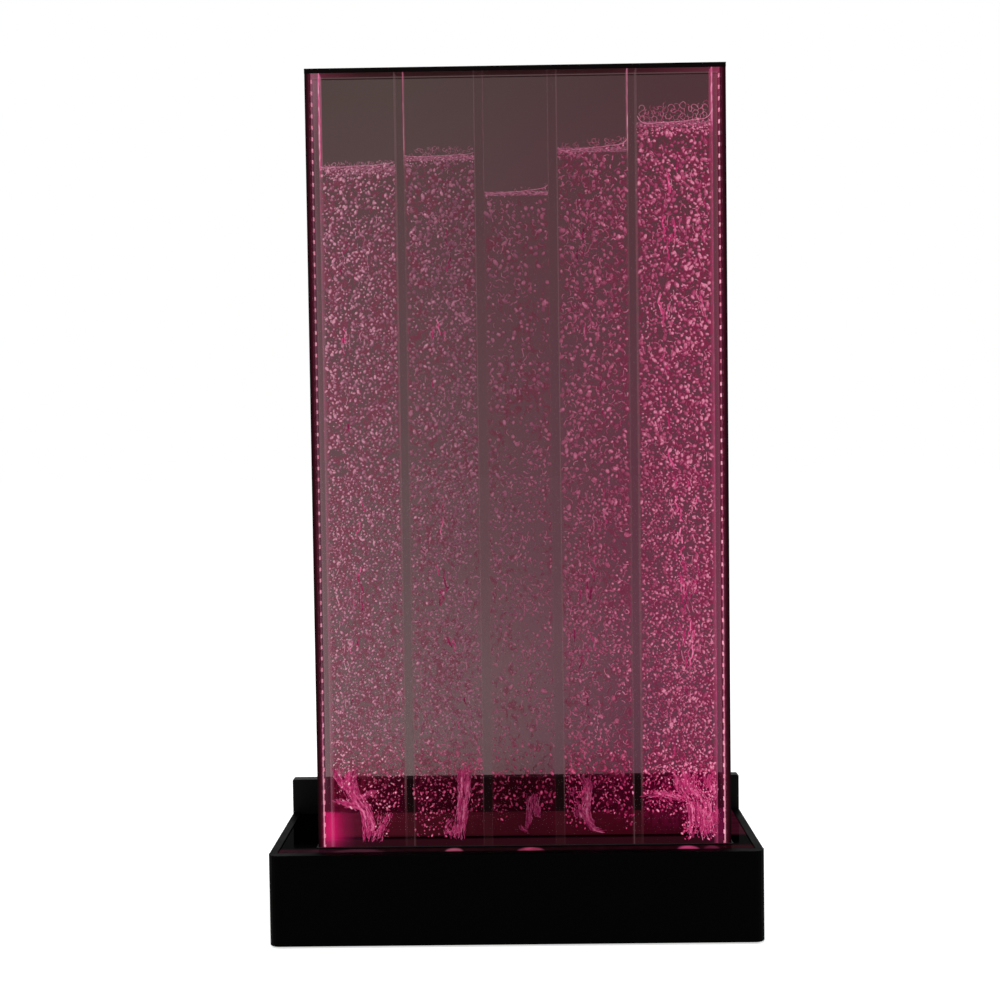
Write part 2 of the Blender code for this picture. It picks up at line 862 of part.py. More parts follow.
def make_pump(base):
    """Air pump on four feet, with its outlet towards the gang valve."""
    mesh = bmesh.new()
    add_block(mesh, (-pump_length / 2, pump_length / 2), (-pump_width / 2, pump_width / 2),
              (0, pump_height))
    place = (pump_x, pump_y, pump_underside)
    pump = add_piece("air_pump", mesh, grey_plastic(), base, at=place)
    round_edges(pump, pump_edge_radius)
    mesh = bmesh.new()
    root = -pump_length / 2 + pump_edge_radius
    tip = -pump_length / 2 - spigot_length
    add_turned(mesh, ((0, tip), (barb_radius, tip), (barb_radius, root), (0, root)), axis="X",
               centre=(0, 0, pump_spigot_height))
    join(pump, "pump_spigot", mesh)

    mesh = bmesh.new()
    high = pump_height / 2
    low = -pump_foot_height
    for x in (-pump_length / 2 + pump_foot_inset, pump_length / 2 - pump_foot_inset):
        for y in (-pump_width / 2 + pump_foot_inset, pump_width / 2 - pump_foot_inset):
            add_turned(mesh, ((0, low), (pump_foot_radius, low), (pump_foot_radius, high), (0, high)),
                       centre=(x, y, 0))
    join(pump, "pump_feet", mesh)


def make_pump_hose(base):
    """Short hose from the pump to the gang valve's inlet."""
    start = Vector((pump_x - pump_length / 2 - spigot_length - fit_gap, pump_y, pump_spigot_z))
    end = Vector((tank_offset + gang_half_length + spigot_length + fit_gap, gang_y, gang_outlet_z))
    lead = Vector((hose_lead / 2, 0, 0))
    add_tube("pump_hose", [start, start - lead, end + lead, end], hose_radius, hose_spacing / 2,
             silicone(), base)


def make_controller(base):
    """Small box that drives the LED strips."""
    mesh = bmesh.new()
    add_block(mesh, (-controller_length / 2, controller_length / 2),
              (-controller_width / 2, controller_width / 2), (0, controller_height))
    place = (controller_x, controller_y, floor_top + fit_gap)
    box = add_piece("led_controller", mesh, black_plastic(), base, at=place)
    round_edges(box, controller_edge_radius, segments=1)


def make_leads(base):
    """Leads from the controller to the two strips, and from the inlet to switch, box and pump."""
    strip_x = (bar_outer + plug_face) / 2
    strip_end = tank_underside + strip_margin - fit_gap
    box_front = controller_y - controller_width / 2 - fit_gap
    box_right = controller_x + controller_length / 2 + fit_gap
    straight = tank_underside - hose_lead
    rear_lane = pump_y + pump_width / 2 + pump_lane
    low = floor_top + wire_radius + fit_gap
    behind = tank_y + tank_depth / 2 + cradle_wall + 2 * wire_lead

    left = tank_offset - strip_x
    box_x = controller_x - controller_length / 4
    add_tube("led_lead_left", [
        (left, tank_y, strip_end), (left, tank_y, straight),
        (left + wire_lead, behind, low + hose_lead),
        (box_x, box_front - 2 * hose_lead, low + wire_lead),
        (box_x, box_front - wire_lead, floor_top + wire_height),
        (box_x, box_front, floor_top + wire_height)], wire_radius, wire_spacing, wire_finish(), base)

    right = tank_offset + strip_x
    add_tube("led_lead_right", [
        (right, tank_y, strip_end), (right, tank_y, straight),
        (right - wire_lead, behind, low + hose_lead),
        (right - hose_lead, pump_y - hose_lead, low),
        (right - 3 * hose_lead, rear_lane - wire_lead, low), (pump_x, rear_lane, low),
        (tank_offset, rear_lane, low), (box_right + 3 * hose_lead, rear_lane - wire_lead, low),
        (box_right + wire_lead, controller_y + wire_lead, floor_top + wire_height),
        (box_right, controller_y + wire_lead, floor_top + wire_height)],
        wire_radius, wire_spacing, wire_finish(), base)

    inlet_end = plate_face - plate_thickness - inlet_body_depth - fit_gap
    switch_end = plate_face - plate_thickness - switch_body_depth - fit_gap
    turn = switch_end - hose_lead
    pin = switch_body_width / 4
    from_inlet = [(inlet_x, inlet_end, fittings_height), (inlet_x, inlet_end - wire_lead, fittings_height),
                  ((inlet_x + switch_x) / 2, turn, fittings_height),
                  (switch_x + pin, switch_end - wire_lead, fittings_height),
                  (switch_x + pin, switch_end, fittings_height)]
    from_switch = [(switch_x - pin, switch_end, fittings_height),
                   (switch_x - pin, switch_end - wire_lead, fittings_height),
                   (tank_offset, turn - wire_lead, floor_top + wire_height + hose_lead),
                   (box_right + 4 * hose_lead, controller_y + 2 * wire_lead, low + 2 * wire_lead),
                   (box_right + wire_lead, controller_y, floor_top + wire_height),
                   (box_right, controller_y, floor_top + wire_height)]
    pump_end = pump_x - pump_length / 2 - fit_gap
    lane = gang_y + gang_depth / 2 + hose_lead
    to_pump = [(box_right, controller_y - wire_lead, floor_top + wire_height),
               (box_right + wire_lead, controller_y - wire_lead, floor_top + wire_height),
               (box_right + 3 * hose_lead, lane, low), (tank_offset, lane, low),
               (pump_end - 2 * hose_lead, lane, low + wire_lead),
               (pump_end - wire_lead, lane, pump_spigot_z), (pump_end, lane, pump_spigot_z)]
    for name, route in (("inlet_lead", from_inlet), ("switch_lead", from_switch), ("pump_lead", to_pump)):
        add_tube(name, route, wire_radius, wire_spacing, wire_finish(), base)


# Service plate and what it carries

def make_service_plate(base):
    """Plate behind the bay, bored for the fittings and slotted for the pump's air."""
    half = bay_width / 2 + plate_margin
    mesh = bmesh.new()
    add_block(mesh, (-half, half), (plate_face - plate_thickness, plate_face),
              (bay_low - plate_margin, bay_high + plate_margin))
    plate = add_piece("service_plate", mesh, black_plastic(), base)
    mesh = bmesh.new()
    span = (plate_face - plate_thickness - overrun, plate_face + overrun)
    width = switch_body_width / 2 + fit_gap
    height = switch_body_height / 2 + fit_gap
    add_block(mesh, (switch_x - width, switch_x + width), span,
              (fittings_height - height, fittings_height + height))
    for i in range(vent_count):
        x = vent_x + (i - (vent_count - 1) / 2) * vent_pitch
        add_block(mesh, (x - vent_width / 2, x + vent_width / 2), span,
                  (fittings_height - vent_height / 2, fittings_height + vent_height / 2))
    holes = [(inlet_x, fittings_height, inlet_body_radius), (drain_x, fittings_height, drain_stem_radius)]
    holes += [(x, z, screw_radius) for x, z in screw_places()]
    for x, z, radius in holes:
        clear = radius + fit_gap
        add_turned(mesh, ((0, span[0]), (clear, span[0]), (clear, span[1]), (0, span[1])),
                   axis="Y", centre=(x, 0, z))
    cut(plate, "plate_cutter", mesh)


def make_screw(base, name, place):
    """Screw through the rear board into the service plate."""
    head_high = base_depth / 2 - fit_gap
    head_low = base_depth / 2 - screw_head
    tip = plate_face - plate_thickness - screw_tip
    profile = ((0, tip), (screw_radius, tip), (screw_radius, head_low),
               (screw_head_radius, head_low), (screw_head_radius, head_high), (0, head_high))
    mesh = bmesh.new()
    add_turned(mesh, profile, axis="Y")
    add_piece(name, mesh, steel(), base, at=(place[0], 0, place[1]), smooth=True)


def make_switch(base):
    """Rocker switch: a frame with a pocket, and the rocker on its axis in it."""
    face = plate_face + fit_gap
    place = (switch_x, face, fittings_height)
    mesh = bmesh.new()
    add_block(mesh, (-bezel_width / 2, bezel_width / 2), (0, bezel),
              (-bezel_height / 2, bezel_height / 2))
    frame = add_piece("rocker_frame", mesh, black_plastic(), base, at=place)
    mesh = bmesh.new()
    back = -fit_gap - plate_thickness - switch_body_depth
    add_block(mesh, (-switch_body_width / 2, switch_body_width / 2), (back, bezel / 2),
              (-switch_body_height / 2, switch_body_height / 2))
    join(frame, "switch_body", mesh)
    mesh = bmesh.new()
    axis_y = bezel + rocker_axis_height - rocker_end_above
    half = rocker_width / 2 + fit_gap
    add_block(mesh, (-half, half), (axis_y - rocker_pocket_depth, bezel + overrun),
              (-rocker_pocket_half, rocker_pocket_half))
    cut(frame, "rocker_pocket", mesh)

    mesh = bmesh.new()
    outline = [(-rocker_below, -rocker_half), (rocker_end_above, -rocker_half), (rocker_above, 0),
               (rocker_end_above, rocker_half), (-rocker_below, rocker_half)]
    add_prism(mesh, outline, -rocker_width / 2, rocker_width / 2, axis="X")
    rocker = add_piece("rocker", mesh, black_plastic(), base,
                       at=(switch_x, face + axis_y, fittings_height))
    rocker.rotation_euler = (rocker_tilt, 0, 0)


def make_inlet(base):
    """Round low-voltage inlet with its centre pin."""
    depth = -fit_gap - plate_thickness - inlet_body_depth
    floor = inlet_flange - inlet_bore_depth
    profile = ((0, depth), (inlet_body_radius, depth), (inlet_body_radius, 0),
               (inlet_flange_radius, 0), (inlet_flange_radius, inlet_flange),
               (inlet_bore_radius, inlet_flange), (inlet_bore_radius, floor),
               (inlet_pin_radius, floor), (inlet_pin_radius, 0), (0, 0))
    mesh = bmesh.new()
    add_turned(mesh, profile, axis="Y")
    add_piece("power_inlet", mesh, black_plastic(), base,
              at=(inlet_x, plate_face + fit_gap, fittings_height), smooth=True)


def make_drain_valve(base):
    """Ball valve on the plate: a stem inside, a spout that points down, a seat for the lever."""
    face = plate_face + fit_gap
    back = -fit_gap - plate_thickness - drain_stem
    body_end = drain_flange + drain_body
    seat = body_end + drain_boss
    profile = ((0, back), (drain_stem_radius, back), (drain_stem_radius, 0),
               (drain_flange_radius, 0), (drain_flange_radius, drain_flange),
               (drain_body_radius, drain_flange), (drain_body_radius, body_end),
               (drain_boss_radius, body_end), (drain_boss_radius, seat), (0, seat))
    mesh = bmesh.new()
    add_turned(mesh, profile, axis="Y")
    place = (drain_x, face, fittings_height)
    valve = add_piece("drain_valve", mesh, brass(), base, at=place, smooth=True)
    middle = drain_flange + drain_body / 2
    mouth = -drain_body_radius - drain_spout_length
    mesh = bmesh.new()
    add_turned(mesh, ((0, 0), (drain_spout_radius, 0), (drain_spout_radius, mouth), (0, mouth)),
               centre=(0, middle, 0))
    join(valve, "drain_spout", mesh)
    mesh = bmesh.new()
    bore = drain_spout_bore_radius
    top = -drain_body_radius / 2
    add_turned(mesh, ((0, top), (bore, top), (bore, mouth - overrun), (0, mouth - overrun)),
               centre=(0, middle, 0))
    cut(valve, "drain_bore", mesh)

    mesh = bmesh.new()
    outline = lever_outline(drain_hub_radius, drain_lever_width, drain_lever_length)
    outline = [(-v, u) for u, v in outline]
    add_prism(mesh, outline, 0, drain_lever_thickness, axis="Y")
    add_piece("drain_lever", mesh, red_plastic(), base,
              at=(drain_x, face + seat + fit_gap, fittings_height), smooth=True)


def make_drain_hose(base):
    """Hose from the elbow in the tank's floor back to the drain valve."""
    elbow_z = tank_underside - fit_gap / 2 - elbow_drop
    start = Vector((tank_offset + drain_place, tank_y + elbow_radius + barb_length + fit_gap, elbow_z))
    end = Vector((drain_x, plate_face - plate_thickness - drain_stem - fit_gap, fittings_height))
    lead = Vector((0, hose_lead, 0))
    route = [start, start + lead, (start + end) / 2, end - lead, end]
    add_tube("drain_hose", route, drain_hose_radius, hose_spacing, silicone(), base)


def build():
    for thing in list(bpy.data.objects):
        bpy.data.objects.remove(thing, do_unlink=True)
    base = empty("base_frame", (0, 0, 0))
    tank = empty("tank_frame", (tank_offset, tank_y, tank_underside), base)

    make_front_board(base)
    make_side_board(base, "left_side_board", -1)
    make_side_board(base, "right_side_board", 1)
    make_rear_board(base)
    make_bottom_plate(base)
    make_foot(base, "rubber_foot_front", -1)
    make_foot(base, "rubber_foot_rear", 1)
    make_deck(base)
    make_gasket(tank)
    make_cradle(tank, "tank_cradle_left", -1)
    make_cradle(tank, "tank_cradle_right", 1)

    make_sheet(tank, "front_sheet", -1, clear_acrylic())
    make_sheet(tank, "rear_sheet", 1, smoked_acrylic())
    make_bar(tank, "left_side_bar", (-bar_outer, -bar_inner), (0, sheet_height))
    make_bar(tank, "right_side_bar", (bar_inner, bar_outer), (0, sheet_height))
    for number, x in enumerate(divider_places, start=1):
        make_bar(tank, f"divider_{number}", (x - divider / 2, x + divider / 2),
                 (tank_floor + channel_link, sheet_height))
    make_tank_floor(tank)
    make_water(tank)
    make_trim(tank, "left_edge_trim", -1)
    make_trim(tank, "right_edge_trim", 1)
    make_led_strip(tank, "left_led_strip", -1)
    make_led_strip(tank, "right_led_strip", 1)
    make_cap(tank)

    for number, x in enumerate(nozzle_places, start=1):
        make_nozzle(tank, number, x)
    make_drain_elbow(tank)

    make_gang_valve(base)
    for number, (nozzle_x, outlet_x) in enumerate(zip(nozzle_places, gang_places()), start=1):
        make_flow_lever(base, number, outlet_x)
        make_air_hose(base, number, tank_offset + nozzle_x, tank_offset + outlet_x)
    make_pump(base)
    make_pump_hose(base)
    make_controller(base)
    make_leads(base)

    make_service_plate(base)
    for name, place in zip(("plate_screw_left", "plate_screw_right"), screw_places()):
        make_screw(base, name, place)
    make_switch(base)
    make_inlet(base)
    make_drain_valve(base)
    make_drain_hose(base)


build()
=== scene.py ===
# Bubble wall panel: finishes, bubbles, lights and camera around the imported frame.
# Metres, +Z up, front facing -Y.

import math

import bpy
from mathutils import Matrix, Vector


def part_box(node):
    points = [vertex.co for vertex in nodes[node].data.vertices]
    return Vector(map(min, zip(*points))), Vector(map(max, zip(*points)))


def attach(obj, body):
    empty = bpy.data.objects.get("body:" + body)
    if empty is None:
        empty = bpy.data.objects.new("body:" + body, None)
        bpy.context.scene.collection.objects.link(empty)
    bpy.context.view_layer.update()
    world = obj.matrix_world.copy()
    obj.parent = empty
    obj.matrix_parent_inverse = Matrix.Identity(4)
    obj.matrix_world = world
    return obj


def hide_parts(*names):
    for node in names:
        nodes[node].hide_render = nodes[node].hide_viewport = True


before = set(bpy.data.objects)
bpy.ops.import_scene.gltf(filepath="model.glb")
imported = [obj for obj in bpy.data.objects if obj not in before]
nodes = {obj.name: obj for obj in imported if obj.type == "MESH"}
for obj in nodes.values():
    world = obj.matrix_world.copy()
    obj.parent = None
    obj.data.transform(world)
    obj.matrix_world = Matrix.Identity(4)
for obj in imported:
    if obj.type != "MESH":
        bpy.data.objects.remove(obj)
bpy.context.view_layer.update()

# Places in the tank
left_bar, right_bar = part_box("left_side_bar"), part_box("right_side_bar")
dividers = [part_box(f"divider_{number}") for number in range(1, 5)]
channel_lefts = [left_bar[1].x] + [high.x for low, high in dividers]
channel_rights = [low.x for low, high in dividers] + [right_bar[0].x]
channels = list(zip(channel_lefts, channel_rights))
tank_middle = (left_bar[0].x + right_bar[1].x) / 2
half_tank = right_bar[1].x - tank_middle
water_front, water_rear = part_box("water")[0].y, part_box("water")[1].y
water_middle = (water_front + water_rear) / 2
deck_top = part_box("deck_plate")[1].z
cap_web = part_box("top_cap")[1].z - 0.002
water_levels = (1.1350, 1.1481, 1.0946, 1.1564, 1.1921)
foot_top = 0.24     # seen from the front, the deck and the rear board show through the tank below this
glass_top = 1.27
led_pitch = 0.01667
unlit = (0, 0, 0, 1)


# Materials

def linear(colour):
    """An sRGB hex colour as linear RGBA."""
    parts = [int(colour[i:i + 2], 16) / 255 for i in (0, 2, 4)]
    return tuple(p / 12.92 if p <= 0.04045 else ((p + 0.055) / 1.055) ** 2.4 for p in parts) + (1.0,)


def per_metre(size_mm):
    """How often a pattern of that size repeats in a metre."""
    return 1000 / size_mm


def add(tree, kind, *inputs, out=0, stops=(), **settings):
    """Adds a node with its settings and links, and returns one of its outputs.
    An input is a pair of a socket's name or number and a value or another node's output."""
    made = tree.nodes.new(kind)
    for key, value in settings.items():
        setattr(made, key, value)
    for key, value in inputs:
        if isinstance(value, bpy.types.NodeSocket):
            tree.links.new(value, made.inputs[key])
        else:
            made.inputs[key].default_value = value
    if stops:
        ramp = made.color_ramp.elements
        while len(ramp) < len(stops):
            ramp.new(0.5)
        for element, (place, colour) in zip(ramp, stops):
            element.position = place
            element.color = linear(colour)
    return made.outputs[out]


def feed(shader, socket, value):
    """Gives a shader's socket another node's output."""
    shader.id_data.links.new(value, shader.inputs[socket])


def glow(shader, colour):
    """Makes the surface give off that colour."""
    feed(shader, "Emission Color", colour)
    shader.inputs["Emission Strength"].default_value = 1.0


def surface(name, colour, roughness, **sockets):
    """A material with one Principled shader; sockets are plain values, their names in words_like_this."""
    material = bpy.data.materials.new(name)
    material.use_nodes = True
    tree = material.node_tree
    shader = tree.nodes["Principled BSDF"]
    shader.inputs["Base Color"].default_value = linear(colour)
    shader.inputs["Roughness"].default_value = roughness
    for key, value in sockets.items():
        label = {"ior": "IOR", "specular_ior_level": "Specular IOR Level"}.get(key)
        shader.inputs[label or key.replace("_", " ").title()].default_value = value
    return material, tree, shader


def moulded(name, colour, roughness, grain_mm, depth, **sockets):
    """A plastic, rubber or lacquer whose skin has a fine grain and a slightly uneven shine."""
    material, tree, shader = surface(name, colour, roughness, **sockets)
    place = add(tree, "ShaderNodeTexCoord", out="Object")
    grain = add(tree, "ShaderNodeTexNoise", ("Vector", place), ("Scale", per_metre(grain_mm)),
                ("Detail", 3.0))
    patch_mm = 45
    patch = add(tree, "ShaderNodeTexNoise", ("Vector", place), ("Scale", per_metre(patch_mm)),
                ("Detail", 4.0))
    shine = add(tree, "ShaderNodeMapRange", (0, patch), (1, 0.3), (2, 0.7), (3, roughness - 0.07),
                (4, roughness + 0.09))
    feed(shader, "Roughness", shine)
    bump = add(tree, "ShaderNodeBump", ("Strength", 0.5), ("Distance", depth), ("Height", grain),
               out="Normal")
    feed(shader, "Normal", bump)
    return material


def black_lacquer(name, gloss):
    # Black satin lacquer sprayed on MDF: near black, a broad soft sheen and a faint spray texture.
    return moulded(name, "010101", 0.48, 1.6, 0.00006, specular_ior_level=gloss)


def position(tree):
    """The place on the object, and its X, Y and Z."""
    place = add(tree, "ShaderNodeTexCoord", out="Object")
    return place, add(tree, "ShaderNodeSeparateXYZ", (0, place)).node.outputs


def from_end_to_end(tree, axes):
    """0 at the tank's left end and 1 at its right end."""
    return add(tree, "ShaderNodeMapRange", (0, axes["X"]), (1, tank_middle - half_tank),
               (2, tank_middle + half_tank))


def distance(tree, sideways, upward):
    """How far a point is that lies that far sideways and upward."""
    both = add(tree, "ShaderNodeCombineXYZ", (0, sideways), (1, upward))
    return add(tree, "ShaderNodeVectorMath", (0, both), out=1, operation="LENGTH")


def deck_gloss():
    # Polished black cast acrylic: a deep black with faint streaks, which carries the tank's pink light
    # as a dull red wash behind the tank and as bright patches under the jets in front of it.
    material, tree, shader = surface("black_gloss_acrylic", "020102", 0.06, specular_ior_level=0.0006)
    place, axes = position(tree)
    stretched = add(tree, "ShaderNodeMapping", (0, place), (3, (0.12, 6.0, 1.0)))
    streak = add(tree, "ShaderNodeTexNoise", ("Vector", stretched), ("Scale", per_metre(60)), ("Detail", 5.0))
    shine = add(tree, "ShaderNodeMapRange", (0, streak), (1, 0.35), (2, 0.75), (3, 0.03), (4, 0.14))
    feed(shader, "Roughness", shine)

    end = from_end_to_end(tree, axes)
    wash = add(tree, "ShaderNodeValToRGB", (0, end),
               stops=((0.0, "d03070"), (0.03, "c84070"), (0.12, "b04058"), (0.3, "a04456"), (0.5, "983c50"),
                      (0.62, "b04860"), (0.75, "b03c58"), (0.92, "a03c60"), (1.0, "903050")))
    wash_fade, wash_end, blur, beyond_it = 0.012, half_tank + 0.012, 0.002, 0.12
    behind = add(tree, "ShaderNodeMapRange", (0, axes["Y"]), (1, water_rear), (2, water_rear + wash_fade))
    lines = add(tree, "ShaderNodeMapRange", (0, streak), (1, 0.3), (2, 0.7), (3, 0.6), (4, 1.25))
    left_end = add(tree, "ShaderNodeMapRange", (0, axes["X"]), (1, tank_middle - wash_end - blur),
                   (2, tank_middle - wash_end + blur))
    right_end = add(tree, "ShaderNodeMapRange", (0, axes["X"]), (1, tank_middle + wash_end - blur),
                    (2, tank_middle + wash_end + blur), (3, 1.0), (4, beyond_it))
    on_top = add(tree, "ShaderNodeMath", (0, axes["Z"]), (1, deck_top - 0.0005), operation="GREATER_THAN")
    for factor in (lines, left_end, right_end, on_top):
        behind = add(tree, "ShaderNodeMath", (0, behind), (1, factor), operation="MULTIPLY")

    patch = add(tree, "ShaderNodeValToRGB", (0, end),
                stops=((0.0, "2c0e1a"), (0.15, "200a10"), (0.45, "1c080c"), (0.8, "22060e"), (1.0, "28060e")))
    strip_front, strip_rear, fade, mirror_half = water_front - 0.036, water_front - 0.012, 0.007, 0.022
    # Mirror images of the jets: place from end to end, half width and colour
    for jet_end, half, colour in ((0.09, 0.075, "44202c"), (0.326, 0.025, "a04c66"), (0.515, 0.036, "ac3c60"),
                                  (0.902, 0.030, "b43c6c"), (0.96, 0.022, "5c1c34")):
        wide = add(tree, "ShaderNodeMapRange", (0, end), (1, jet_end), (2, jet_end + half), clamp=False)
        deep = add(tree, "ShaderNodeMapRange", (0, axes["Y"]), (1, strip_front),
                   (2, strip_front + mirror_half), clamp=False)
        spot = distance(tree, wide, deep)
        spot = add(tree, "ShaderNodeMapRange", (0, spot), (1, 1.0), (2, 0.7))
        patch = add(tree, "ShaderNodeMix", (0, spot), (6, patch), (7, linear(colour)), out=2,
                    data_type="RGBA")
    front = add(tree, "ShaderNodeMapRange", (0, axes["Y"]), (1, strip_front), (2, strip_front + fade))
    near = add(tree, "ShaderNodeMapRange", (0, axes["Y"]), (1, strip_rear - fade), (2, strip_rear), (3, 1.0),
               (4, 0.0))
    uneven = add(tree, "ShaderNodeTexNoise", ("Vector", place), ("Scale", per_metre(16)), ("Detail", 3.0))
    uneven = add(tree, "ShaderNodeMapRange", (0, uneven), (1, 0.35), (2, 0.65), (3, 0.6), (4, 1.1))
    for factor in (near, uneven, on_top):
        front = add(tree, "ShaderNodeMath", (0, front), (1, factor), operation="MULTIPLY")

    rear_light = add(tree, "ShaderNodeMix", (0, behind), (6, unlit), (7, wash), out=2, data_type="RGBA")
    both = add(tree, "ShaderNodeMix", (0, front), (6, rear_light), (7, patch), out=2, data_type="RGBA")
    glow(shader, both)
    return material


def clear_sheet():
    # Clear cast acrylic, polished: hardly seen from the front but for its faint gloss.
    return surface("clear_cast_acrylic", "0a0608", 0.02, specular_ior_level=0.06, alpha=0.04)[0]


def smoked_sheet():
    # Smoked cast acrylic: a grey-brown filter, pinker toward the right where the strips' pink light is
    # painted into it, paler at the foot, blacked out inside the base, and with a painted hot pink glow of the
    # strips' light next to their lower ends.
    material, tree, shader = surface("smoked_cast_acrylic", "5c4a48", 0.0, ior=1.02,
                                     transmission_weight=1.0)
    place, axes = position(tree)
    height = add(tree, "ShaderNodeMapRange", (0, axes["Z"]), (1, foot_top), (2, glass_top))
    left = add(tree, "ShaderNodeValToRGB", (0, height),
               stops=((0.0, "645354"), (0.27, "685456"), (0.52, "654e51"), (0.75, "60474b"), (1.0, "544643")))
    # The pinker tint toward the right is the strips' pink light painted into the filter's colour, drifting in
    # slow clouds.
    right = add(tree, "ShaderNodeValToRGB", (0, height),
                stops=((0.0, "543240"), (0.25, "623847"), (0.55, "623946"), (1.0, "52383c")))
    end = from_end_to_end(tree, axes)
    side = add(tree, "ShaderNodeMapRange", (0, end), (1, 0.2), (2, 0.85))
    cloud = add(tree, "ShaderNodeTexNoise", ("Vector", place), ("Scale", per_metre(260)), ("Detail", 2.0))
    drift = add(tree, "ShaderNodeMath", (0, cloud), (1, 0.5), (2, side), operation="MULTIPLY_ADD")
    drift = add(tree, "ShaderNodeMath", (0, drift), (1, 0.25), operation="SUBTRACT", use_clamp=True)
    tint_and_pink_light = add(tree, "ShaderNodeMix", (0, drift), (6, left), (7, right), out=2, data_type="RGBA")
    above = add(tree, "ShaderNodeMapRange", (0, axes["Z"]), (1, deck_top - 0.002), (2, deck_top))
    tint_and_pink_light = add(tree, "ShaderNodeMix", (0, above), (6, unlit), (7, tint_and_pink_light), out=2, data_type="RGBA")
    feed(shader, "Base Color", tint_and_pink_light)

    # Painted glow of the strips' light: hot pink in front of the deck, fainter in front of the rear board,
    # whose foot shows through here
    board_foot, spill_top, spill_full, sunk_depth = 0.177, 0.250, 0.190, 0.018
    foot = add(tree, "ShaderNodeMapRange", (0, axes["Z"]), (1, board_foot), (2, board_foot - 0.003),
               (3, 0.12), (4, 1.0))
    low = add(tree, "ShaderNodeMapRange", (0, axes["Z"]), (1, spill_top), (2, spill_full))
    foot = add(tree, "ShaderNodeMath", (0, foot), (1, low), operation="MULTIPLY")
    sunk = add(tree, "ShaderNodeMapRange", (0, axes["Z"]), (1, deck_top - sunk_depth), (2, deck_top),
               (3, 0.2))
    foot = add(tree, "ShaderNodeMath", (0, foot), (1, sunk), operation="MULTIPLY")
    spill = add(tree, "ShaderNodeValToRGB", (0, end),
                stops=((0.0, "a40c4c"), (0.012, "b4105a"), (0.028, "84103e"), (0.045, "560c2c"),
                       (0.07, "240814"), (0.12, "0c0306"), (0.3, "020001"), (0.9, "060102"), (0.97, "1c0410"),
                       (1.0, "48062a")))
    # Painted light: a dull crimson glow on the part of the sheet inside the base.
    glow_in_base = add(tree, "ShaderNodeMix", (0, above), (6, linear("2c0c14")), (7, unlit), out=2,
                  data_type="RGBA")
    lit = add(tree, "ShaderNodeMix", (0, foot), (6, glow_in_base), (7, spill), out=2, data_type="RGBA",
              blend_type="ADD")
    # Painted light: a grey-brown glow along the sheet's top edge, up under the cap.
    edge = add(tree, "ShaderNodeMapRange", (0, axes["Z"]), (1, cap_web - 0.0022), (2, cap_web - 0.0018))
    lit = add(tree, "ShaderNodeMix", (0, edge), (6, lit), (7, linear("503e40")), out=2, data_type="RGBA")
    glow(shader, lit)
    return material


def lit_bar(name, box, facing):
    """A bar lit from one end of the tank; facing is the side that the light leaves by. Also returns how
    bright that side is, strongest at its front corner, and where the other side is."""
    # Clear extruded acrylic: dark and glassy from the front, with the light showing on its side faces,
    # most of all along their front corner.
    material, tree, shader = surface(name, "0a0608", 0.08, specular_ior_level=0.05)
    place, axes = position(tree)
    low, high = box
    corner = add(tree, "ShaderNodeMapRange", (0, axes["Y"]), (1, water_front + 0.002),
                 (2, water_front + 0.026), (3, 1.0), (4, 0.15))
    faces, skin = [], 0.0003
    for edge, inward in ((high.x, -1), (low.x, 1)) if facing > 0 else ((low.x, 1), (high.x, -1)):
        depth = skin * inward
        faces.append(add(tree, "ShaderNodeMapRange", (0, axes["X"]), (1, edge + depth), (2, edge + 3 * depth),
                         (3, 1.0), (4, 0.0)))
    exit_face = add(tree, "ShaderNodeMath", (0, faces[0]), (1, corner), operation="MULTIPLY")
    return material, tree, shader, place, axes, exit_face, faces[1]


def finish_bar(tree, shader, amount, clear_alpha, stops):
    """Sets the bar's glow, and its opacity, which grows with the glow."""
    light = add(tree, "ShaderNodeValToRGB", (0, amount), stops=stops)
    glow(shader, light)
    clear = add(tree, "ShaderNodeMapRange", (0, amount), (1, 0.0), (2, 0.5), (3, clear_alpha), (4, 0.9))
    feed(shader, "Alpha", clear)


def above_water(tree, axes, level, wet, dry):
    """How much of a bar's light shows: less where water lies against the bar."""
    return add(tree, "ShaderNodeMapRange", (0, axes["Z"]), (1, level - 0.02), (2, level + 0.01), (3, wet),
               (4, dry))


def divider_acrylic(number):
    facing = 1 if number < 3 else -1
    reach = (0.85, 0.30, 0.26, 0.95)[number - 1]
    material, tree, shader, place, axes, exit_face, far_side = lit_bar(
        f"lit_divider_acrylic_{number}", dividers[number - 1], facing)
    far_face = add(tree, "ShaderNodeMath", (0, far_side), (1, 0.2), operation="MULTIPLY")
    level = water_levels[number if facing > 0 else number - 1]
    dry = above_water(tree, axes, level, 0.22, 1.0)
    ripple = add(tree, "ShaderNodeTexNoise", ("Vector", place), ("Scale", per_metre(18)), ("Detail", 2.0))
    uneven = add(tree, "ShaderNodeMapRange", (0, ripple), (1, 0.3), (2, 0.7), (3, 0.6), (4, 1.2))
    for factor in (dry, uneven, reach):
        exit_face = add(tree, "ShaderNodeMath", (0, exit_face), (1, factor), operation="MULTIPLY")
    lifted = add(tree, "ShaderNodeMapRange", (0, axes["Z"]), (1, 0.16), (2, 0.25), (3, 0.25), (4, 1.0))
    far_face = add(tree, "ShaderNodeMath", (0, far_face), (1, lifted), operation="MULTIPLY")
    amount = add(tree, "ShaderNodeMath", (0, exit_face), (1, far_face), operation="MAXIMUM")
    finish_bar(tree, shader, amount, 0.05,
               ((0.0, "4c2c30"), (0.2, "6a5054"), (0.45, "90485e"), (0.75, "b4647e"), (1.0, "d894ac")))
    return material


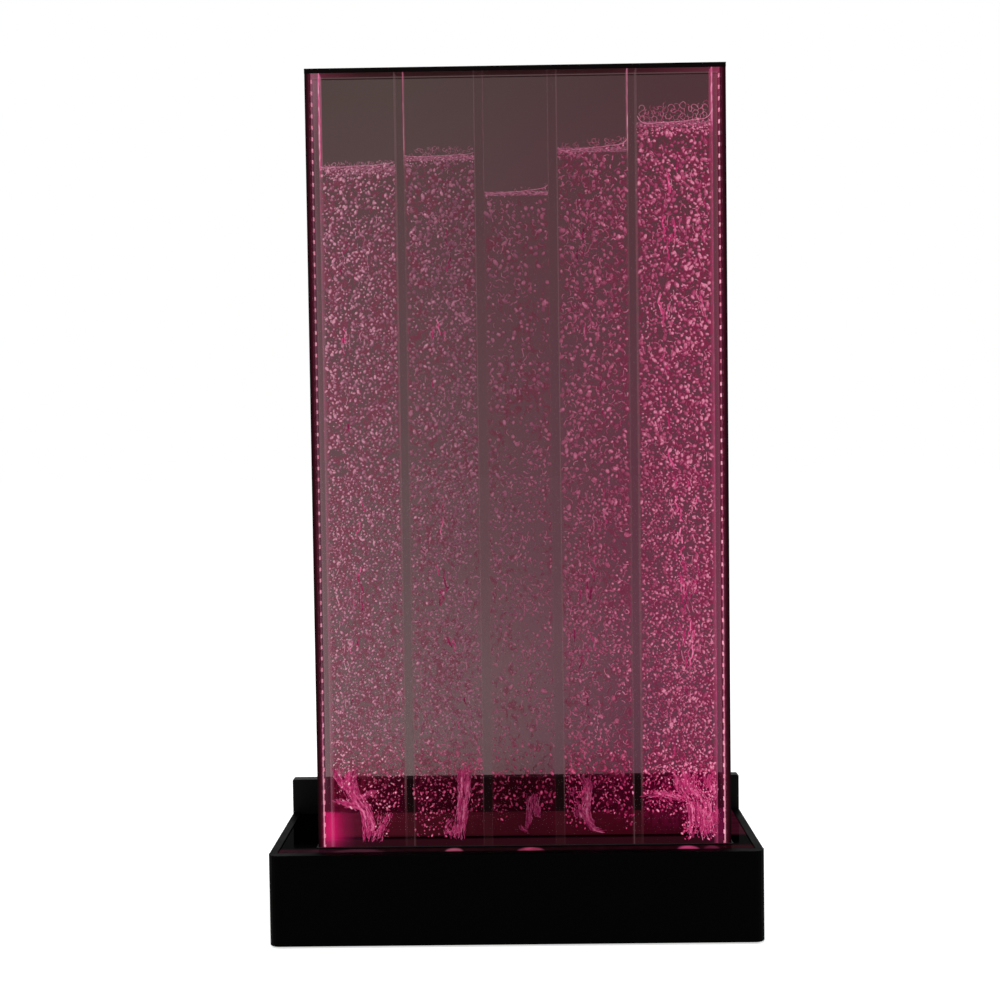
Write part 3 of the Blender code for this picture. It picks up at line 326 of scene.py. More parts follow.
def side_bar_acrylic(side):
    """The bar between a strip and its channel: its inner face glows, and a painted pink glow fades across its
    front.
    """
    name, (low, high), level, strip_glow_foot, strip_glow_top, wet, strip_glow_colour = (
        ("lit_right_bar_acrylic", right_bar, water_levels[4], 0.004, 0.055, 0.34, "cc4c78") if side > 0 else
        ("lit_left_bar_acrylic", left_bar, water_levels[0], 0.003, 0.10, 0.22, "b87890"))
    material, tree, shader, place, axes, exit_face, _ = lit_bar(name, (low, high), -side)
    outer, inner = (high.x, low.x) if side > 0 else (low.x, high.x)
    falloff, strip_glow_edge = 6.0, 0.05
    # Painted glow of the strip's light across the bar's front: strongest next to the strip and toward the
    # top, fading out at the foot.
    depth = add(tree, "ShaderNodeMapRange", (0, axes["X"]), (1, outer), (2, inner), (3, 1.0), (4, 0.0))
    near = add(tree, "ShaderNodeMath", (0, depth), (1, falloff), operation="POWER")
    top = add(tree, "ShaderNodeMapRange", (0, axes["Z"]), (1, 1.16), (2, glass_top), (4, strip_glow_top))
    strip_glow = add(tree, "ShaderNodeMath", (0, near), (1, strip_glow_edge), (2, strip_glow_foot), operation="MULTIPLY_ADD")
    strip_glow = add(tree, "ShaderNodeMath", (0, strip_glow), (1, top), operation="ADD")
    above_foot = add(tree, "ShaderNodeMapRange", (0, axes["Z"]), (1, 0.18), (2, foot_top))
    strip_glow = add(tree, "ShaderNodeMath", (0, strip_glow), (1, above_foot), operation="MULTIPLY")
    dry = above_water(tree, axes, level, wet, 0.8)
    ripple = add(tree, "ShaderNodeTexNoise", ("Vector", place), ("Scale", per_metre(12)), ("Detail", 2.0))
    uneven = add(tree, "ShaderNodeMapRange", (0, ripple), (1, 0.3), (2, 0.7), (3, 0.5), (4, 1.3))
    bright = add(tree, "ShaderNodeMath", (0, exit_face), (1, dry), operation="MULTIPLY")
    bright = add(tree, "ShaderNodeMath", (0, bright), (1, uneven), operation="MULTIPLY")
    amount = add(tree, "ShaderNodeMath", (0, bright), (1, strip_glow), operation="MAXIMUM")
    finish_bar(tree, shader, amount, 0.02,
               ((0.0, strip_glow_colour), (0.1, strip_glow_colour), (0.3, "b84470"), (0.6, "dc6494"), (1.0, "fcc8da")))
    return material


def pointing(tree):
    """The X, Y and Z of the way that the surface points."""
    normal = add(tree, "ShaderNodeNewGeometry", out="Normal")
    return add(tree, "ShaderNodeSeparateXYZ", (0, normal)).node.outputs


def tank_water():
    # Tap water full of air: clear between the bubbles, with crimson mottles where clouds of bubbles behind
    # one another catch the strips' light, and on top a broken skin on which the strips' light is painted as a
    # bright glow.
    material, tree, shader = surface("pink_lit_water", "0a0204", 0.02, specular_ior_level=0.05)
    place, axes = position(tree)
    end = from_end_to_end(tree, axes)
    flat = add(tree, "ShaderNodeMapping", (0, place), (3, (1.0, 0.0, 0.75)))
    fine = add(tree, "ShaderNodeTexNoise", ("Vector", flat), ("Scale", per_metre(8)), ("Detail", 2.5),
               ("Distortion", 0.8))
    cloud = add(tree, "ShaderNodeTexNoise", ("Vector", flat), ("Scale", per_metre(70)), ("Detail", 1.5))
    cloud_share, thinnest, thickest = 0.4, 0.49, 0.57
    off_centre = add(tree, "ShaderNodeMath", (0, end), (1, 0.5), operation="SUBTRACT")
    off_centre = add(tree, "ShaderNodeMath", (0, off_centre), operation="ABSOLUTE")
    crowd = add(tree, "ShaderNodeMapRange", (0, off_centre), (1, 0.06), (2, 0.36), (3, -0.26), (4, -0.185))
    thickness = add(tree, "ShaderNodeMath", (0, cloud), (1, cloud_share), (2, crowd),
                    operation="MULTIPLY_ADD")
    thickness = add(tree, "ShaderNodeMath", (0, thickness), (1, fine), operation="ADD")
    mottle = add(tree, "ShaderNodeMapRange", (0, thickness), (1, thinnest), (2, thickest))

    tall = add(tree, "ShaderNodeValToRGB", (0, end),
               stops=((0.03, "863a52"), (0.2, "7a3248"), (0.35, "702c42"), (0.5, "682a3c"), (0.66, "702840"),
                      (0.8, "7a2444"), (0.97, "8a2048")))
    foot = add(tree, "ShaderNodeValToRGB", (0, end),
               stops=((0.03, "70102e"), (0.2, "5c0c28"), (0.35, "4c0a1e"), (0.5, "3c0616"), (0.66, "580a26"),
                      (0.8, "6c0a30"), (0.97, "8c0c44")))
    low = add(tree, "ShaderNodeMapRange", (0, axes["Z"]), (1, 0.28), (2, 0.22))
    veil = add(tree, "ShaderNodeMix", (0, low), (6, tall), (7, foot), out=2, data_type="RGBA")
    thick = add(tree, "ShaderNodeMapRange", (0, axes["Y"]), (1, water_front + 0.001), (2, water_rear - 0.001),
                (3, 0.04), (4, 0.66))
    body = add(tree, "ShaderNodeMath", (0, thick), (1, mottle), operation="MULTIPLY")
    faint = add(tree, "ShaderNodeMapRange", (0, low), (3, 0.12), (4, 0.42))
    faint = add(tree, "ShaderNodeMath", (0, thick), (1, faint), operation="MULTIPLY")
    body = add(tree, "ShaderNodeMath", (0, body), (1, faint), operation="MAXIMUM")
    clear_foot = add(tree, "ShaderNodeMapRange", (0, axes["Z"]), (1, deck_top + 0.002), (2, 0.19))
    body = add(tree, "ShaderNodeMath", (0, body), (1, clear_foot), operation="MULTIPLY")

    normal = pointing(tree)
    on_top = add(tree, "ShaderNodeMath", (0, normal["Z"]), operation="ABSOLUTE")
    on_top = add(tree, "ShaderNodeMapRange", (0, on_top), (1, 0.5), (2, 0.7))
    # Painted light: a bright pink glow of the strips' light on the broken skin of the water's top.
    crust = add(tree, "ShaderNodeTexNoise", ("Vector", place), ("Scale", per_metre(4)), ("Detail", 2.0))
    crust_glow = add(tree, "ShaderNodeValToRGB", (0, crust),
                       stops=((0.38, "4c2032"), (0.5, "984866"), (0.62, "e08cac")))
    lit = add(tree, "ShaderNodeMix", (0, on_top), (6, veil), (7, crust_glow), out=2, data_type="RGBA")
    shown = add(tree, "ShaderNodeMapRange", (0, on_top), (3, body), (4, 0.5))
    glow(shader, lit)
    feed(shader, "Alpha", shown)
    return material


def bubble_skin(name, gain, cheek_share=1.0):
    """Air bubbles in water, lit pink from both ends of the tank: a soft crimson rim, with a bright core
    where the light that went round inside leaves it, and a bright cheek toward the nearer strip."""
    material, tree, shader = surface(name, "060203", 0.3, specular_ior_level=0.05)
    place, axes = position(tree)
    normal = pointing(tree)
    spark = add(tree, "ShaderNodeAttribute", out="Fac", attribute_name="spark")

    # Light that reaches every bubble, how fast the strips' own fades, and where it shows on a bubble
    least, falloff = 0.32, 1.6
    cheek_light, core_light, crown_light = 0.7 * cheek_share, 0.55, 0.2
    reaches, cheeks = [], []
    for sign, strip_end, far_end, strength in ((-1.0, channels[0][0], channels[2][1], 0.86),
                                               (1.0, channels[4][1], channels[2][0], 1.02)):
        reach = add(tree, "ShaderNodeMapRange", (0, axes["X"]), (1, strip_end), (2, far_end), (3, 1.0),
                    (4, 0.0))
        reach = add(tree, "ShaderNodeMath", (0, reach), (1, falloff), operation="POWER")
        reach = add(tree, "ShaderNodeMath", (0, reach), (1, strength), (2, least), operation="MULTIPLY_ADD")
        toward = add(tree, "ShaderNodeMath", (0, normal["X"]), (1, sign), operation="MULTIPLY",
                     use_clamp=True)
        toward = add(tree, "ShaderNodeMath", (0, toward), (1, 2.0), operation="POWER")
        reaches.append(reach)
        cheeks.append(add(tree, "ShaderNodeMath", (0, toward), (1, reach), operation="MULTIPLY"))
    cheek = add(tree, "ShaderNodeMath", *enumerate(cheeks), operation="ADD")
    cheek = add(tree, "ShaderNodeMath", (0, cheek), (1, cheek_light), operation="MULTIPLY")
    core = add(tree, "ShaderNodeMath", (0, normal["Y"]), operation="ABSOLUTE")
    core = add(tree, "ShaderNodeMath", (0, core), (1, 2.5), operation="POWER")
    crown = add(tree, "ShaderNodeMath", (0, normal["Z"]), (1, crown_light), operation="MULTIPLY",
                use_clamp=True)
    core = add(tree, "ShaderNodeMath", (0, core), (1, core_light), (2, crown), operation="MULTIPLY_ADD")
    reach = add(tree, "ShaderNodeMath", *enumerate(reaches), operation="ADD")
    body = add(tree, "ShaderNodeMath", (0, core), (1, reach), operation="MULTIPLY")
    total = add(tree, "ShaderNodeMath", (0, cheek), (1, body), operation="ADD")
    speck = add(tree, "ShaderNodeTexNoise", ("Vector", place), ("Scale", per_metre(3)), ("Detail", 2.0))
    speck = add(tree, "ShaderNodeMapRange", (0, speck), (1, 0.35), (2, 0.65), (3, 0.7), (4, 1.25))
    vary = add(tree, "ShaderNodeMapRange", (0, spark), (1, 0.0), (2, 1.0), (3, 0.55 * gain), (4, 1.6 * gain))
    total = add(tree, "ShaderNodeMath", (0, total), (1, vary), operation="MULTIPLY")
    total = add(tree, "ShaderNodeMath", (0, total), (1, speck), operation="MULTIPLY")

    dusky, pink, hot, hotter = [add(tree, "ShaderNodeValToRGB", (0, total), stops=stops) for stops in (
        ((0.0, "643a48"), (0.2, "724656"), (0.45, "90586a"), (0.75, "ac7286"), (1.0, "d494a8")),
        ((0.0, "6c2640"), (0.2, "802e4c"), (0.45, "a44064"), (0.75, "c05c80"), (1.0, "de88a4")),
        ((0.0, "480a20"), (0.22, "781838"), (0.48, "a8345e"), (0.78, "d8688c"), (1.0, "fcc0d2")),
        ((0.0, "500624"), (0.22, "88123e"), (0.48, "bc2864"), (0.78, "e45888"), (1.0, "fca4c4")))]
    end = from_end_to_end(tree, axes)
    side = add(tree, "ShaderNodeMapRange", (0, end), (1, 0.38), (2, 0.90))
    upper = add(tree, "ShaderNodeMix", (0, side), (6, dusky), (7, pink), out=2, data_type="RGBA")
    foot = add(tree, "ShaderNodeMapRange", (0, axes["Z"]), (1, 0.30), (2, 0.215))
    lower = add(tree, "ShaderNodeMix", (0, side), (6, hot), (7, hotter), out=2, data_type="RGBA")
    colour = add(tree, "ShaderNodeMix", (0, foot), (6, upper), (7, lower), out=2, data_type="RGBA")
    glow(shader, colour)
    material.cycles.emission_sampling = "NONE"
    return material


def jet_skin():
    """Air rushing up from a nozzle: strands glowing hot pink with painted strip light, some dark and some
    with pale pink edges.
    """
    material, tree, shader = surface("air_jet_pink_lit", "060203", 0.3, specular_ior_level=0.05)
    place, axes = position(tree)
    spark = add(tree, "ShaderNodeAttribute", out="Fac", attribute_name="spark")
    stretched = add(tree, "ShaderNodeMapping", (0, place), (3, (1.0, 1.0, 0.5)))
    streak = add(tree, "ShaderNodeTexNoise", ("Vector", stretched), ("Scale", per_metre(4)), ("Detail", 3.0))
    tone = add(tree, "ShaderNodeMath", (0, streak), (1, 1.6), (2, -0.72), operation="MULTIPLY_ADD")
    tone = add(tree, "ShaderNodeMath", (0, spark), (1, 0.85), (2, tone), operation="MULTIPLY_ADD")
    end = from_end_to_end(tree, axes)
    # Painted light: the glow is brightest near the strips at the tank's ends and dimmest in the middle.
    bright = add(tree, "ShaderNodeValToRGB", (0, end),
                 stops=((0.0, "ffffff"), (0.25, "dcdcdc"), (0.5, "a0a0a0"), (0.72, "c4c4c4"),
                        (0.85, "ffffff")))
    colour = add(tree, "ShaderNodeValToRGB", (0, tone),
                 stops=((0.05, "7c1844"), (0.3, "a8285c"), (0.6, "c83c74"), (0.85, "de5a8c"),
                        (1.0, "f088ae")))
    lit = add(tree, "ShaderNodeMix", (0, 1.0), (6, colour), (7, bright), out=2, data_type="RGBA",
              blend_type="MULTIPLY")
    glow(shader, lit)
    material.cycles.emission_sampling = "NONE"
    return material


def anodised(name):
    # Black anodised aluminium extrusion: a dark grey-black metal, satin, faintly drawn along its length,
    # with a trace of the strips' red light on it.
    material, tree, shader = surface(name, "030202", 0.42, metallic=0.3, specular_ior_level=0.03)
    place, axes = position(tree)
    drawn = add(tree, "ShaderNodeMapping", (0, place), (3, (1.0, 1.0, 0.02)))
    line = add(tree, "ShaderNodeTexNoise", ("Vector", drawn), ("Scale", per_metre(0.8)), ("Detail", 2.0))
    shine = add(tree, "ShaderNodeMapRange", (0, line), (1, 0.3), (2, 0.7), (3, 0.32), (4, 0.5))
    feed(shader, "Roughness", shine)
    return material, tree, shader, axes


def trim_anodised():
    # The painted red glow of the strips' light is strongest along the trims' edge next to the strips.
    material, tree, shader, axes = anodised("black_anodised_trim")
    from_middle = add(tree, "ShaderNodeMath", (0, axes["X"]), (1, tank_middle), operation="SUBTRACT")
    from_middle = add(tree, "ShaderNodeMath", (0, from_middle), operation="ABSOLUTE")
    red = add(tree, "ShaderNodeMapRange", (0, from_middle), (1, half_tank + 0.0026), (2, half_tank + 0.0078),
              (3, 1.0), (4, 0.0))
    light = add(tree, "ShaderNodeValToRGB", (0, red),
                stops=((0.0, "0a0204"), (0.5, "22020c"), (1.0, "3c0a1a")))
    glow(shader, light)
    return material


def cap_anodised():
    # Under the cap, between its skirts, the strips' light makes a dark magenta band that fades to the middle.
    material, tree, shader, axes = anodised("black_anodised_cap")
    skirt, blur = water_front - 0.005, 0.0002
    front = add(tree, "ShaderNodeMapRange", (0, axes["Y"]), (1, skirt - blur), (2, skirt + blur))
    under = add(tree, "ShaderNodeMapRange", (0, axes["Z"]), (1, cap_web), (2, cap_web + blur), (3, 1.0),
                (4, 0.0))
    inside = add(tree, "ShaderNodeMath", (0, front), (1, under), operation="MULTIPLY")
    end = from_end_to_end(tree, axes)
    band = add(tree, "ShaderNodeValToRGB", (0, end),
               stops=((0.0, "60283a"), (0.05, "4c1c28"), (0.12, "321216"), (0.3, "260e10"), (0.5, "240c0e"),
                      (0.72, "2c1014"), (0.84, "3e1620"), (0.95, "542230"), (1.0, "602838")))
    # Painted light: a faint red glow of the strips' light over the rest of the cap.
    elsewhere = (0.0012, 0.0003, 0.0005, 1)
    lit = add(tree, "ShaderNodeMix", (0, inside), (6, elsewhere), (7, band), out=2, data_type="RGBA")
    glow(shader, lit)
    return material


def black_abs():
    # Black ABS, spark-eroded mould: a dull fine grain.
    return moulded("black_abs", "101010", 0.55, 0.9, 0.00005, specular_ior_level=0.35)


def rocker_abs():
    # Black ABS rocker, glossier than its frame, with a white I on its upper half and an O on its lower half.
    material, tree, shader = surface("black_abs_printed", "0a0a0a", 0.3, specular_ior_level=0.5)
    axes = position(tree)[1]
    low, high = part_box("rocker")
    middle, quarter = (low.x + high.x) / 2, (high.z - low.z) / 4
    reach, half_line = 0.0018, 0.0004
    sideways = add(tree, "ShaderNodeMath", (0, axes["X"]), (1, middle), operation="SUBTRACT")
    from_bar = add(tree, "ShaderNodeMath", (0, axes["Z"]), (1, high.z - quarter), operation="SUBTRACT")
    from_ring = add(tree, "ShaderNodeMath", (0, axes["Z"]), (1, low.z + quarter), operation="SUBTRACT")
    thin = add(tree, "ShaderNodeMath", (0, sideways), (1, 0.0), (2, half_line), operation="COMPARE")
    short = add(tree, "ShaderNodeMath", (0, from_bar), (1, 0.0), (2, reach), operation="COMPARE")
    bar = add(tree, "ShaderNodeMath", (0, thin), (1, short), operation="MULTIPLY")
    ring = add(tree, "ShaderNodeMath", (0, distance(tree, sideways, from_ring)), (1, reach), (2, half_line),
               operation="COMPARE")
    ink = add(tree, "ShaderNodeMath", (0, bar), (1, ring), operation="MAXIMUM")
    outside = add(tree, "ShaderNodeMath", (0, axes["Y"]), (1, (low.y + high.y) / 2), operation="GREATER_THAN")
    ink = add(tree, "ShaderNodeMath", (0, ink), (1, outside), operation="MULTIPLY")
    colour = add(tree, "ShaderNodeMix", (0, ink), (6, linear("0a0a0a")), (7, linear("dcdcdc")), out=2,
                 data_type="RGBA")
    feed(shader, "Base Color", colour)
    return material


def grey_abs():
    # Grey ABS housing: smoother, with a soft shine.
    return moulded("grey_abs", "55575b", 0.45, 1.2, 0.00004)


def red_abs():
    # Red ABS lever: smooth and a little glossy.
    return moulded("red_abs", "a81616", 0.36, 2.5, 0.00003)


def rubber():
    # Black nitrile rubber: matte, hardly any highlight.
    return moulded("black_nitrile_rubber", "0c0c0c", 0.85, 0.7, 0.00005, specular_ior_level=0.25)


def silicone():
    # Milky silicone hose: soft, with a faint bloom in patches.
    material, tree, shader = surface("milky_silicone", "ccd0d0", 0.42, ior=1.41)
    place = add(tree, "ShaderNodeTexCoord", out="Object")
    bloom = add(tree, "ShaderNodeTexNoise", ("Vector", place), ("Scale", per_metre(9)), ("Detail", 3.0))
    milk = add(tree, "ShaderNodeValToRGB", (0, bloom), stops=((0.35, "bcc2c3"), (0.65, "dadddd")))
    feed(shader, "Base Color", milk)
    return material


def wire_sleeve():
    # PVC wire sleeve: smooth black with a soft shine.
    return moulded("pvc_wire_sleeve", "131315", 0.4, 3.0, 0.00002)


def satin_brass():
    # Turned brass: warm yellow metal with fine turning lines.
    material, tree, shader = surface("turned_brass", "b5924c", 0.28, metallic=1.0)
    place = add(tree, "ShaderNodeTexCoord", out="Object")
    turned = add(tree, "ShaderNodeMapping", (0, place), (3, (0.1, 6.0, 0.1)))
    line = add(tree, "ShaderNodeTexNoise", ("Vector", turned), ("Scale", per_metre(2.5)), ("Detail", 2.0))
    shine = add(tree, "ShaderNodeMapRange", (0, line), (1, 0.3), (2, 0.7), (3, 0.2), (4, 0.4))
    feed(shader, "Roughness", shine)
    return material


def zinc_steel():
    # Zinc-plated steel screw: bright grey with small cloudy patches.
    material, tree, shader = surface("zinc_plated_steel", "a3a4a6", 0.3, metallic=1.0)
    place = add(tree, "ShaderNodeTexCoord", out="Object")
    cloud = add(tree, "ShaderNodeTexNoise", ("Vector", place), ("Scale", per_metre(2)), ("Detail", 3.0))
    shine = add(tree, "ShaderNodeMapRange", (0, cloud), (1, 0.3), (2, 0.7), (3, 0.22), (4, 0.45))
    feed(shader, "Roughness", shine)
    return material


def strip_mask(side):
    # Solder mask of an LED strip, washed by its own pink light, most of all at its foot.
    name, wash_top = ("right_strip_solder_mask", 0.80) if side > 0 else ("left_strip_solder_mask", 0.42)
    material, tree, shader = surface(name, "2a0e18", 0.5, specular_ior_level=0.1)
    place, axes = position(tree)
    weave = add(tree, "ShaderNodeTexNoise", ("Vector", place), ("Scale", per_metre(5)), ("Detail", 2.0))
    low = add(tree, "ShaderNodeMapRange", (0, axes["Z"]), (1, wash_top), (2, 0.20), (4, 0.5))
    tone = add(tree, "ShaderNodeMath", (0, weave), (1, low), operation="ADD")
    wash = add(tree, "ShaderNodeValToRGB", (0, tone),
               stops=((0.3, "38101e"), (0.6, "60283c"), (0.85, "b45c7c"), (1.0, "e898b0")))
    glow(shader, wash)
    return material


def led_lens(side):
    # Silicone lens and white body of an LED at full light: pale pink, paler on the right strip.
    name, colour = ("lit_led_right", "e8a0b8") if side > 0 else ("lit_led_left", "c4788e")
    material, tree, shader = surface(name, "f0d8e0", 0.4)
    place = add(tree, "ShaderNodeTexCoord", out="Object")
    flicker = add(tree, "ShaderNodeTexNoise", ("Vector", place), ("Scale", per_metre(14)), ("Detail", 1.0))
    tone = add(tree, "ShaderNodeValToRGB", (0, flicker), stops=((0.35, "a84c68"), (0.6, colour)))
    glow(shader, tone)
    return material


def five(name):
    """The names of the five copies of a piece, one for each channel."""
    return [f"{name}_{number}" for number in range(1, 6)]


def dress(material, *names):
    """Gives CAD nodes their finish."""
    for name in names:
        for slot in nodes[name].material_slots:
            slot.material = material


# Trees of geometry nodes

def new_tree(name, **sockets):
    """A geometry tree with named inputs, listed by their kind; also returns the node that gives them."""
    tree = bpy.data.node_groups.new(name, "GeometryNodeTree")
    for kind, labels in sockets.items():
        for label in labels:
            tree.interface.new_socket(label, in_out="INPUT", socket_type="NodeSocket" + kind)
    tree.interface.new_socket("Geometry", in_out="OUTPUT", socket_type="NodeSocketGeometry")
    return tree, tree.nodes.new("NodeGroupInput").outputs


def end_tree(tree, *dressed):
    """Ends the tree with those pairs of a shape and its material, each made real."""
    joined = tree.nodes.new("GeometryNodeJoinGeometry")
    for shape, material in dressed:
        real = add(tree, "GeometryNodeRealizeInstances", (0, shape))
        done = add(tree, "GeometryNodeSetMaterial", (0, real), ("Material", material))
        tree.links.new(done, joined.inputs[0])
    tree.links.new(joined.outputs[0], tree.nodes.new("NodeGroupOutput").inputs[0])
    return tree


def end_tubes(tree, curves, given, sides=4):
    """Ends the tree with tubes along the curves."""
    profile = add(tree, "GeometryNodeCurvePrimitiveCircle", ("Resolution", sides),
                  ("Radius", given["Thickness"]))
    tubes = add(tree, "GeometryNodeCurveToMesh", (0, curves), (1, profile))
    return end_tree(tree, (tubes, given["Skin"]))


def shaken(tree, shape, size_mm, reach, *inputs, detail=2.0, axes=(1.0, 1.0, 1.0), **settings):
    """Moves the shape's points by a noise of that size, each axis by its own share."""
    where = add(tree, "GeometryNodeInputPosition")
    drift = add(tree, "ShaderNodeTexNoise", ("Vector", where), ("Scale", per_metre(size_mm)),
                ("Detail", detail), *inputs, out="Color", **settings)
    shift = add(tree, "ShaderNodeVectorMath", (0, drift), (1, (0.5, 0.5, 0.5)), operation="SUBTRACT")
    shift = add(tree, "ShaderNodeVectorMath", (0, shift), ("Scale", reach), operation="SCALE")
    shift = add(tree, "ShaderNodeVectorMath", (0, shift), (1, axes), operation="MULTIPLY")
    return add(tree, "GeometryNodeSetPosition", (0, shape), ("Offset", shift))


def grow(name, tree, values, body="base", start=None):
    """Runs a tree with those inputs and keeps the result as a plain mesh that rides on a body."""
    seed = bpy.data.objects.new(name + "_seed", start or bpy.data.meshes.new(name + "_seed"))
    bpy.context.scene.collection.objects.link(seed)
    step = seed.modifiers.new("grow", "NODES")
    step.node_group = tree
    for socket in tree.interface.items_tree:
        if socket.in_out == "INPUT" and socket.name in values:
            step[socket.identifier] = values[socket.name]
    bpy.context.view_layer.update()
    graph = bpy.context.evaluated_depsgraph_get()
    mesh = bpy.data.meshes.new_from_object(seed.evaluated_get(graph), preserve_all_data_layers=True,
                                           depsgraph=graph)
    mesh.name = name
    bpy.data.objects.remove(seed)
    piece = bpy.data.objects.new(name, mesh)
    bpy.context.scene.collection.objects.link(piece)
    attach(piece, body)
    return piece


def new_slab_tree(name, *floats):
    """A tree that starts with points spread over an upright slab with about even spacing, and none in the
    voids of a slow noise; floats are its further inputs. Returns the tree, its inputs and the points."""
    tree, given = new_tree(
        name, Float=("Width", "Height", "Depth", "Tilt", "Spacing", "Void Size", "Void Share", "Smallest",
                     "Largest", *floats), Vector=("Centre",), Int=("Seed",), Material=("Skin",))
    panel = add(tree, "GeometryNodeMeshGrid", (0, given["Width"]), (1, given["Height"]), (2, 2), (3, 2))
    crowded = 500000.0      # points a square metre: so many that the spacing alone thins them out
    spots = add(tree, "GeometryNodeDistributePointsOnFaces", (0, panel), ("Distance Min", given["Spacing"]),
                ("Density Max", crowded), ("Seed", given["Seed"]), distribute_method="POISSON")
    where = add(tree, "GeometryNodeInputPosition")
    flat = add(tree, "ShaderNodeSeparateXYZ", (0, where)).node.outputs
    depth = add(tree, "FunctionNodeRandomValue", (2, -0.5), (3, 0.5), ("Seed", given["Seed"]), out=1)
    depth = add(tree, "ShaderNodeMath", (0, depth), (1, given["Depth"]), operation="MULTIPLY")
    rise = add(tree, "ShaderNodeMath", (0, flat["X"]), (1, given["Tilt"]), (2, flat["Y"]),
               operation="MULTIPLY_ADD")
    upright = add(tree, "ShaderNodeCombineXYZ", (0, flat["X"]), (1, depth), (2, rise))
    place = add(tree, "ShaderNodeVectorMath", (0, upright), (1, given["Centre"]), operation="ADD")
    spots = add(tree, "GeometryNodeSetPosition", (0, spots), ("Position", place))
    often = add(tree, "ShaderNodeMath", (0, 1.0), (1, given["Void Size"]), operation="DIVIDE")
    void = add(tree, "ShaderNodeTexNoise", ("Vector", where), ("W", given["Seed"]), ("Scale", often),
               ("Detail", 2.0), noise_dimensions="4D")
    empty = add(tree, "ShaderNodeMath", (0, void), (1, given["Void Share"]), operation="LESS_THAN")
    return tree, given, add(tree, "GeometryNodeDeleteGeometry", (0, spots), ("Selection", empty))


def placed_with_spark(tree, spots, shape, turn, size):
    """The shape at every point, each with a brightness of its own."""
    copies = add(tree, "GeometryNodeInstanceOnPoints", (0, spots), ("Instance", shape), ("Rotation", turn),
                 ("Scale", size))
    brightness = add(tree, "FunctionNodeRandomValue", (2, 0.0), (3, 1.0), ("Seed", 14), out=1)
    return add(tree, "GeometryNodeStoreNamedAttribute", (0, copies), ("Name", "spark"), ("Value", brightness),
               data_type="FLOAT", domain="INSTANCE")


def smooth_ball(tree, segments, rings):
    ball = add(tree, "GeometryNodeMeshUVSphere", ("Segments", segments), ("Rings", rings), ("Radius", 1.0))
    return add(tree, "GeometryNodeSetShadeSmooth", (0, ball))


def bubble_tree():
    """Single bubbles, each a little squashed or drawn out and leaning its own way."""
    tree, given, spots = new_slab_tree("rising_bubbles", "Stretch")
    chance = add(tree, "FunctionNodeRandomValue", (2, 0.0), (3, 1.0), ("Seed", 11), out=1)
    skewed = add(tree, "ShaderNodeMath", (0, chance), (1, 1.4), operation="POWER")
    radius = add(tree, "ShaderNodeMapRange", (0, skewed), (3, given["Smallest"]), (4, given["Largest"]))
    taller = add(tree, "FunctionNodeRandomValue", (2, 0.7), (3, given["Stretch"]), ("Seed", 12), out=1)
    height = add(tree, "ShaderNodeMath", (0, radius), (1, taller), operation="MULTIPLY")
    size = add(tree, "ShaderNodeCombineXYZ", (0, radius), (1, radius), (2, height))
    lean = add(tree, "FunctionNodeRandomValue", (0, (-0.5, -0.9, -0.5)), (1, (0.5, 0.9, 0.5)), ("Seed", 13),
               data_type="FLOAT_VECTOR")
    placed = placed_with_spark(tree, spots, smooth_ball(tree, 8, 5), lean, size)
    return end_tree(tree, (placed, given["Skin"]))


def blob_tree():
    """Larger bubbles that wobble as they rise: crumpled caps and lobes."""
    tree, given, spots = new_slab_tree("wobbling_blobs", "Crumple")
    size = add(tree, "FunctionNodeRandomValue", (0, (0.8, 0.5, 0.5)), (1, (1.1, 0.7, 1.5)), ("Seed", 15),
               data_type="FLOAT_VECTOR")
    radius = add(tree, "FunctionNodeRandomValue", (2, given["Smallest"]), (3, given["Largest"]), ("Seed", 16),
                 out=1)
    size = add(tree, "ShaderNodeVectorMath", (0, size), ("Scale", radius), operation="SCALE")
    lean = add(tree, "FunctionNodeRandomValue", (0, (-0.3, -0.9, -0.4)), (1, (0.3, 0.9, 0.4)), ("Seed", 17),
               data_type="FLOAT_VECTOR")
    placed = placed_with_spark(tree, spots, smooth_ball(tree, 18, 11), lean, size)
    real = add(tree, "GeometryNodeRealizeInstances", (0, placed))
    crumpled = shaken(tree, real, 8, given["Crumple"], detail=2.5, axes=(1.0, 0.35, 1.0))
    return end_tree(tree, (crumpled, given["Skin"]))


def film_tree():
    """Wavering outlines of large flat bubbles, or of froth cells."""
    tree, given, spots = new_slab_tree("bubble_films", "Thickness", "Arc", "Wander")
    ring = add(tree, "GeometryNodeCurvePrimitiveCircle", ("Resolution", 16), ("Radius", 1.0))
    arc = add(tree, "GeometryNodeTrimCurve", (0, ring), (2, 0.0), (3, given["Arc"]))
    upright = add(tree, "GeometryNodeTransform", (0, arc), ("Rotation", (math.pi / 2, 0, 0)))
    turn = add(tree, "FunctionNodeRandomValue", (0, (-0.5, -math.pi, -0.6)), (1, (0.5, math.pi, 0.6)),
               ("Seed", 21), data_type="FLOAT_VECTOR")
    radius = add(tree, "FunctionNodeRandomValue", (2, given["Smallest"]), (3, given["Largest"]), ("Seed", 22),
                 out=1)
    squeeze = add(tree, "FunctionNodeRandomValue", (2, 0.6), (3, 1.25), ("Seed", 23), out=1)
    tall = add(tree, "ShaderNodeMath", (0, radius), (1, squeeze), operation="MULTIPLY")
    size = add(tree, "ShaderNodeCombineXYZ", (0, radius), (1, radius), (2, tall))
    placed = placed_with_spark(tree, spots, upright, turn, size)
    real = add(tree, "GeometryNodeRealizeInstances", (0, placed))
    return end_tubes(tree, shaken(tree, real, 9, given["Wander"]), given)


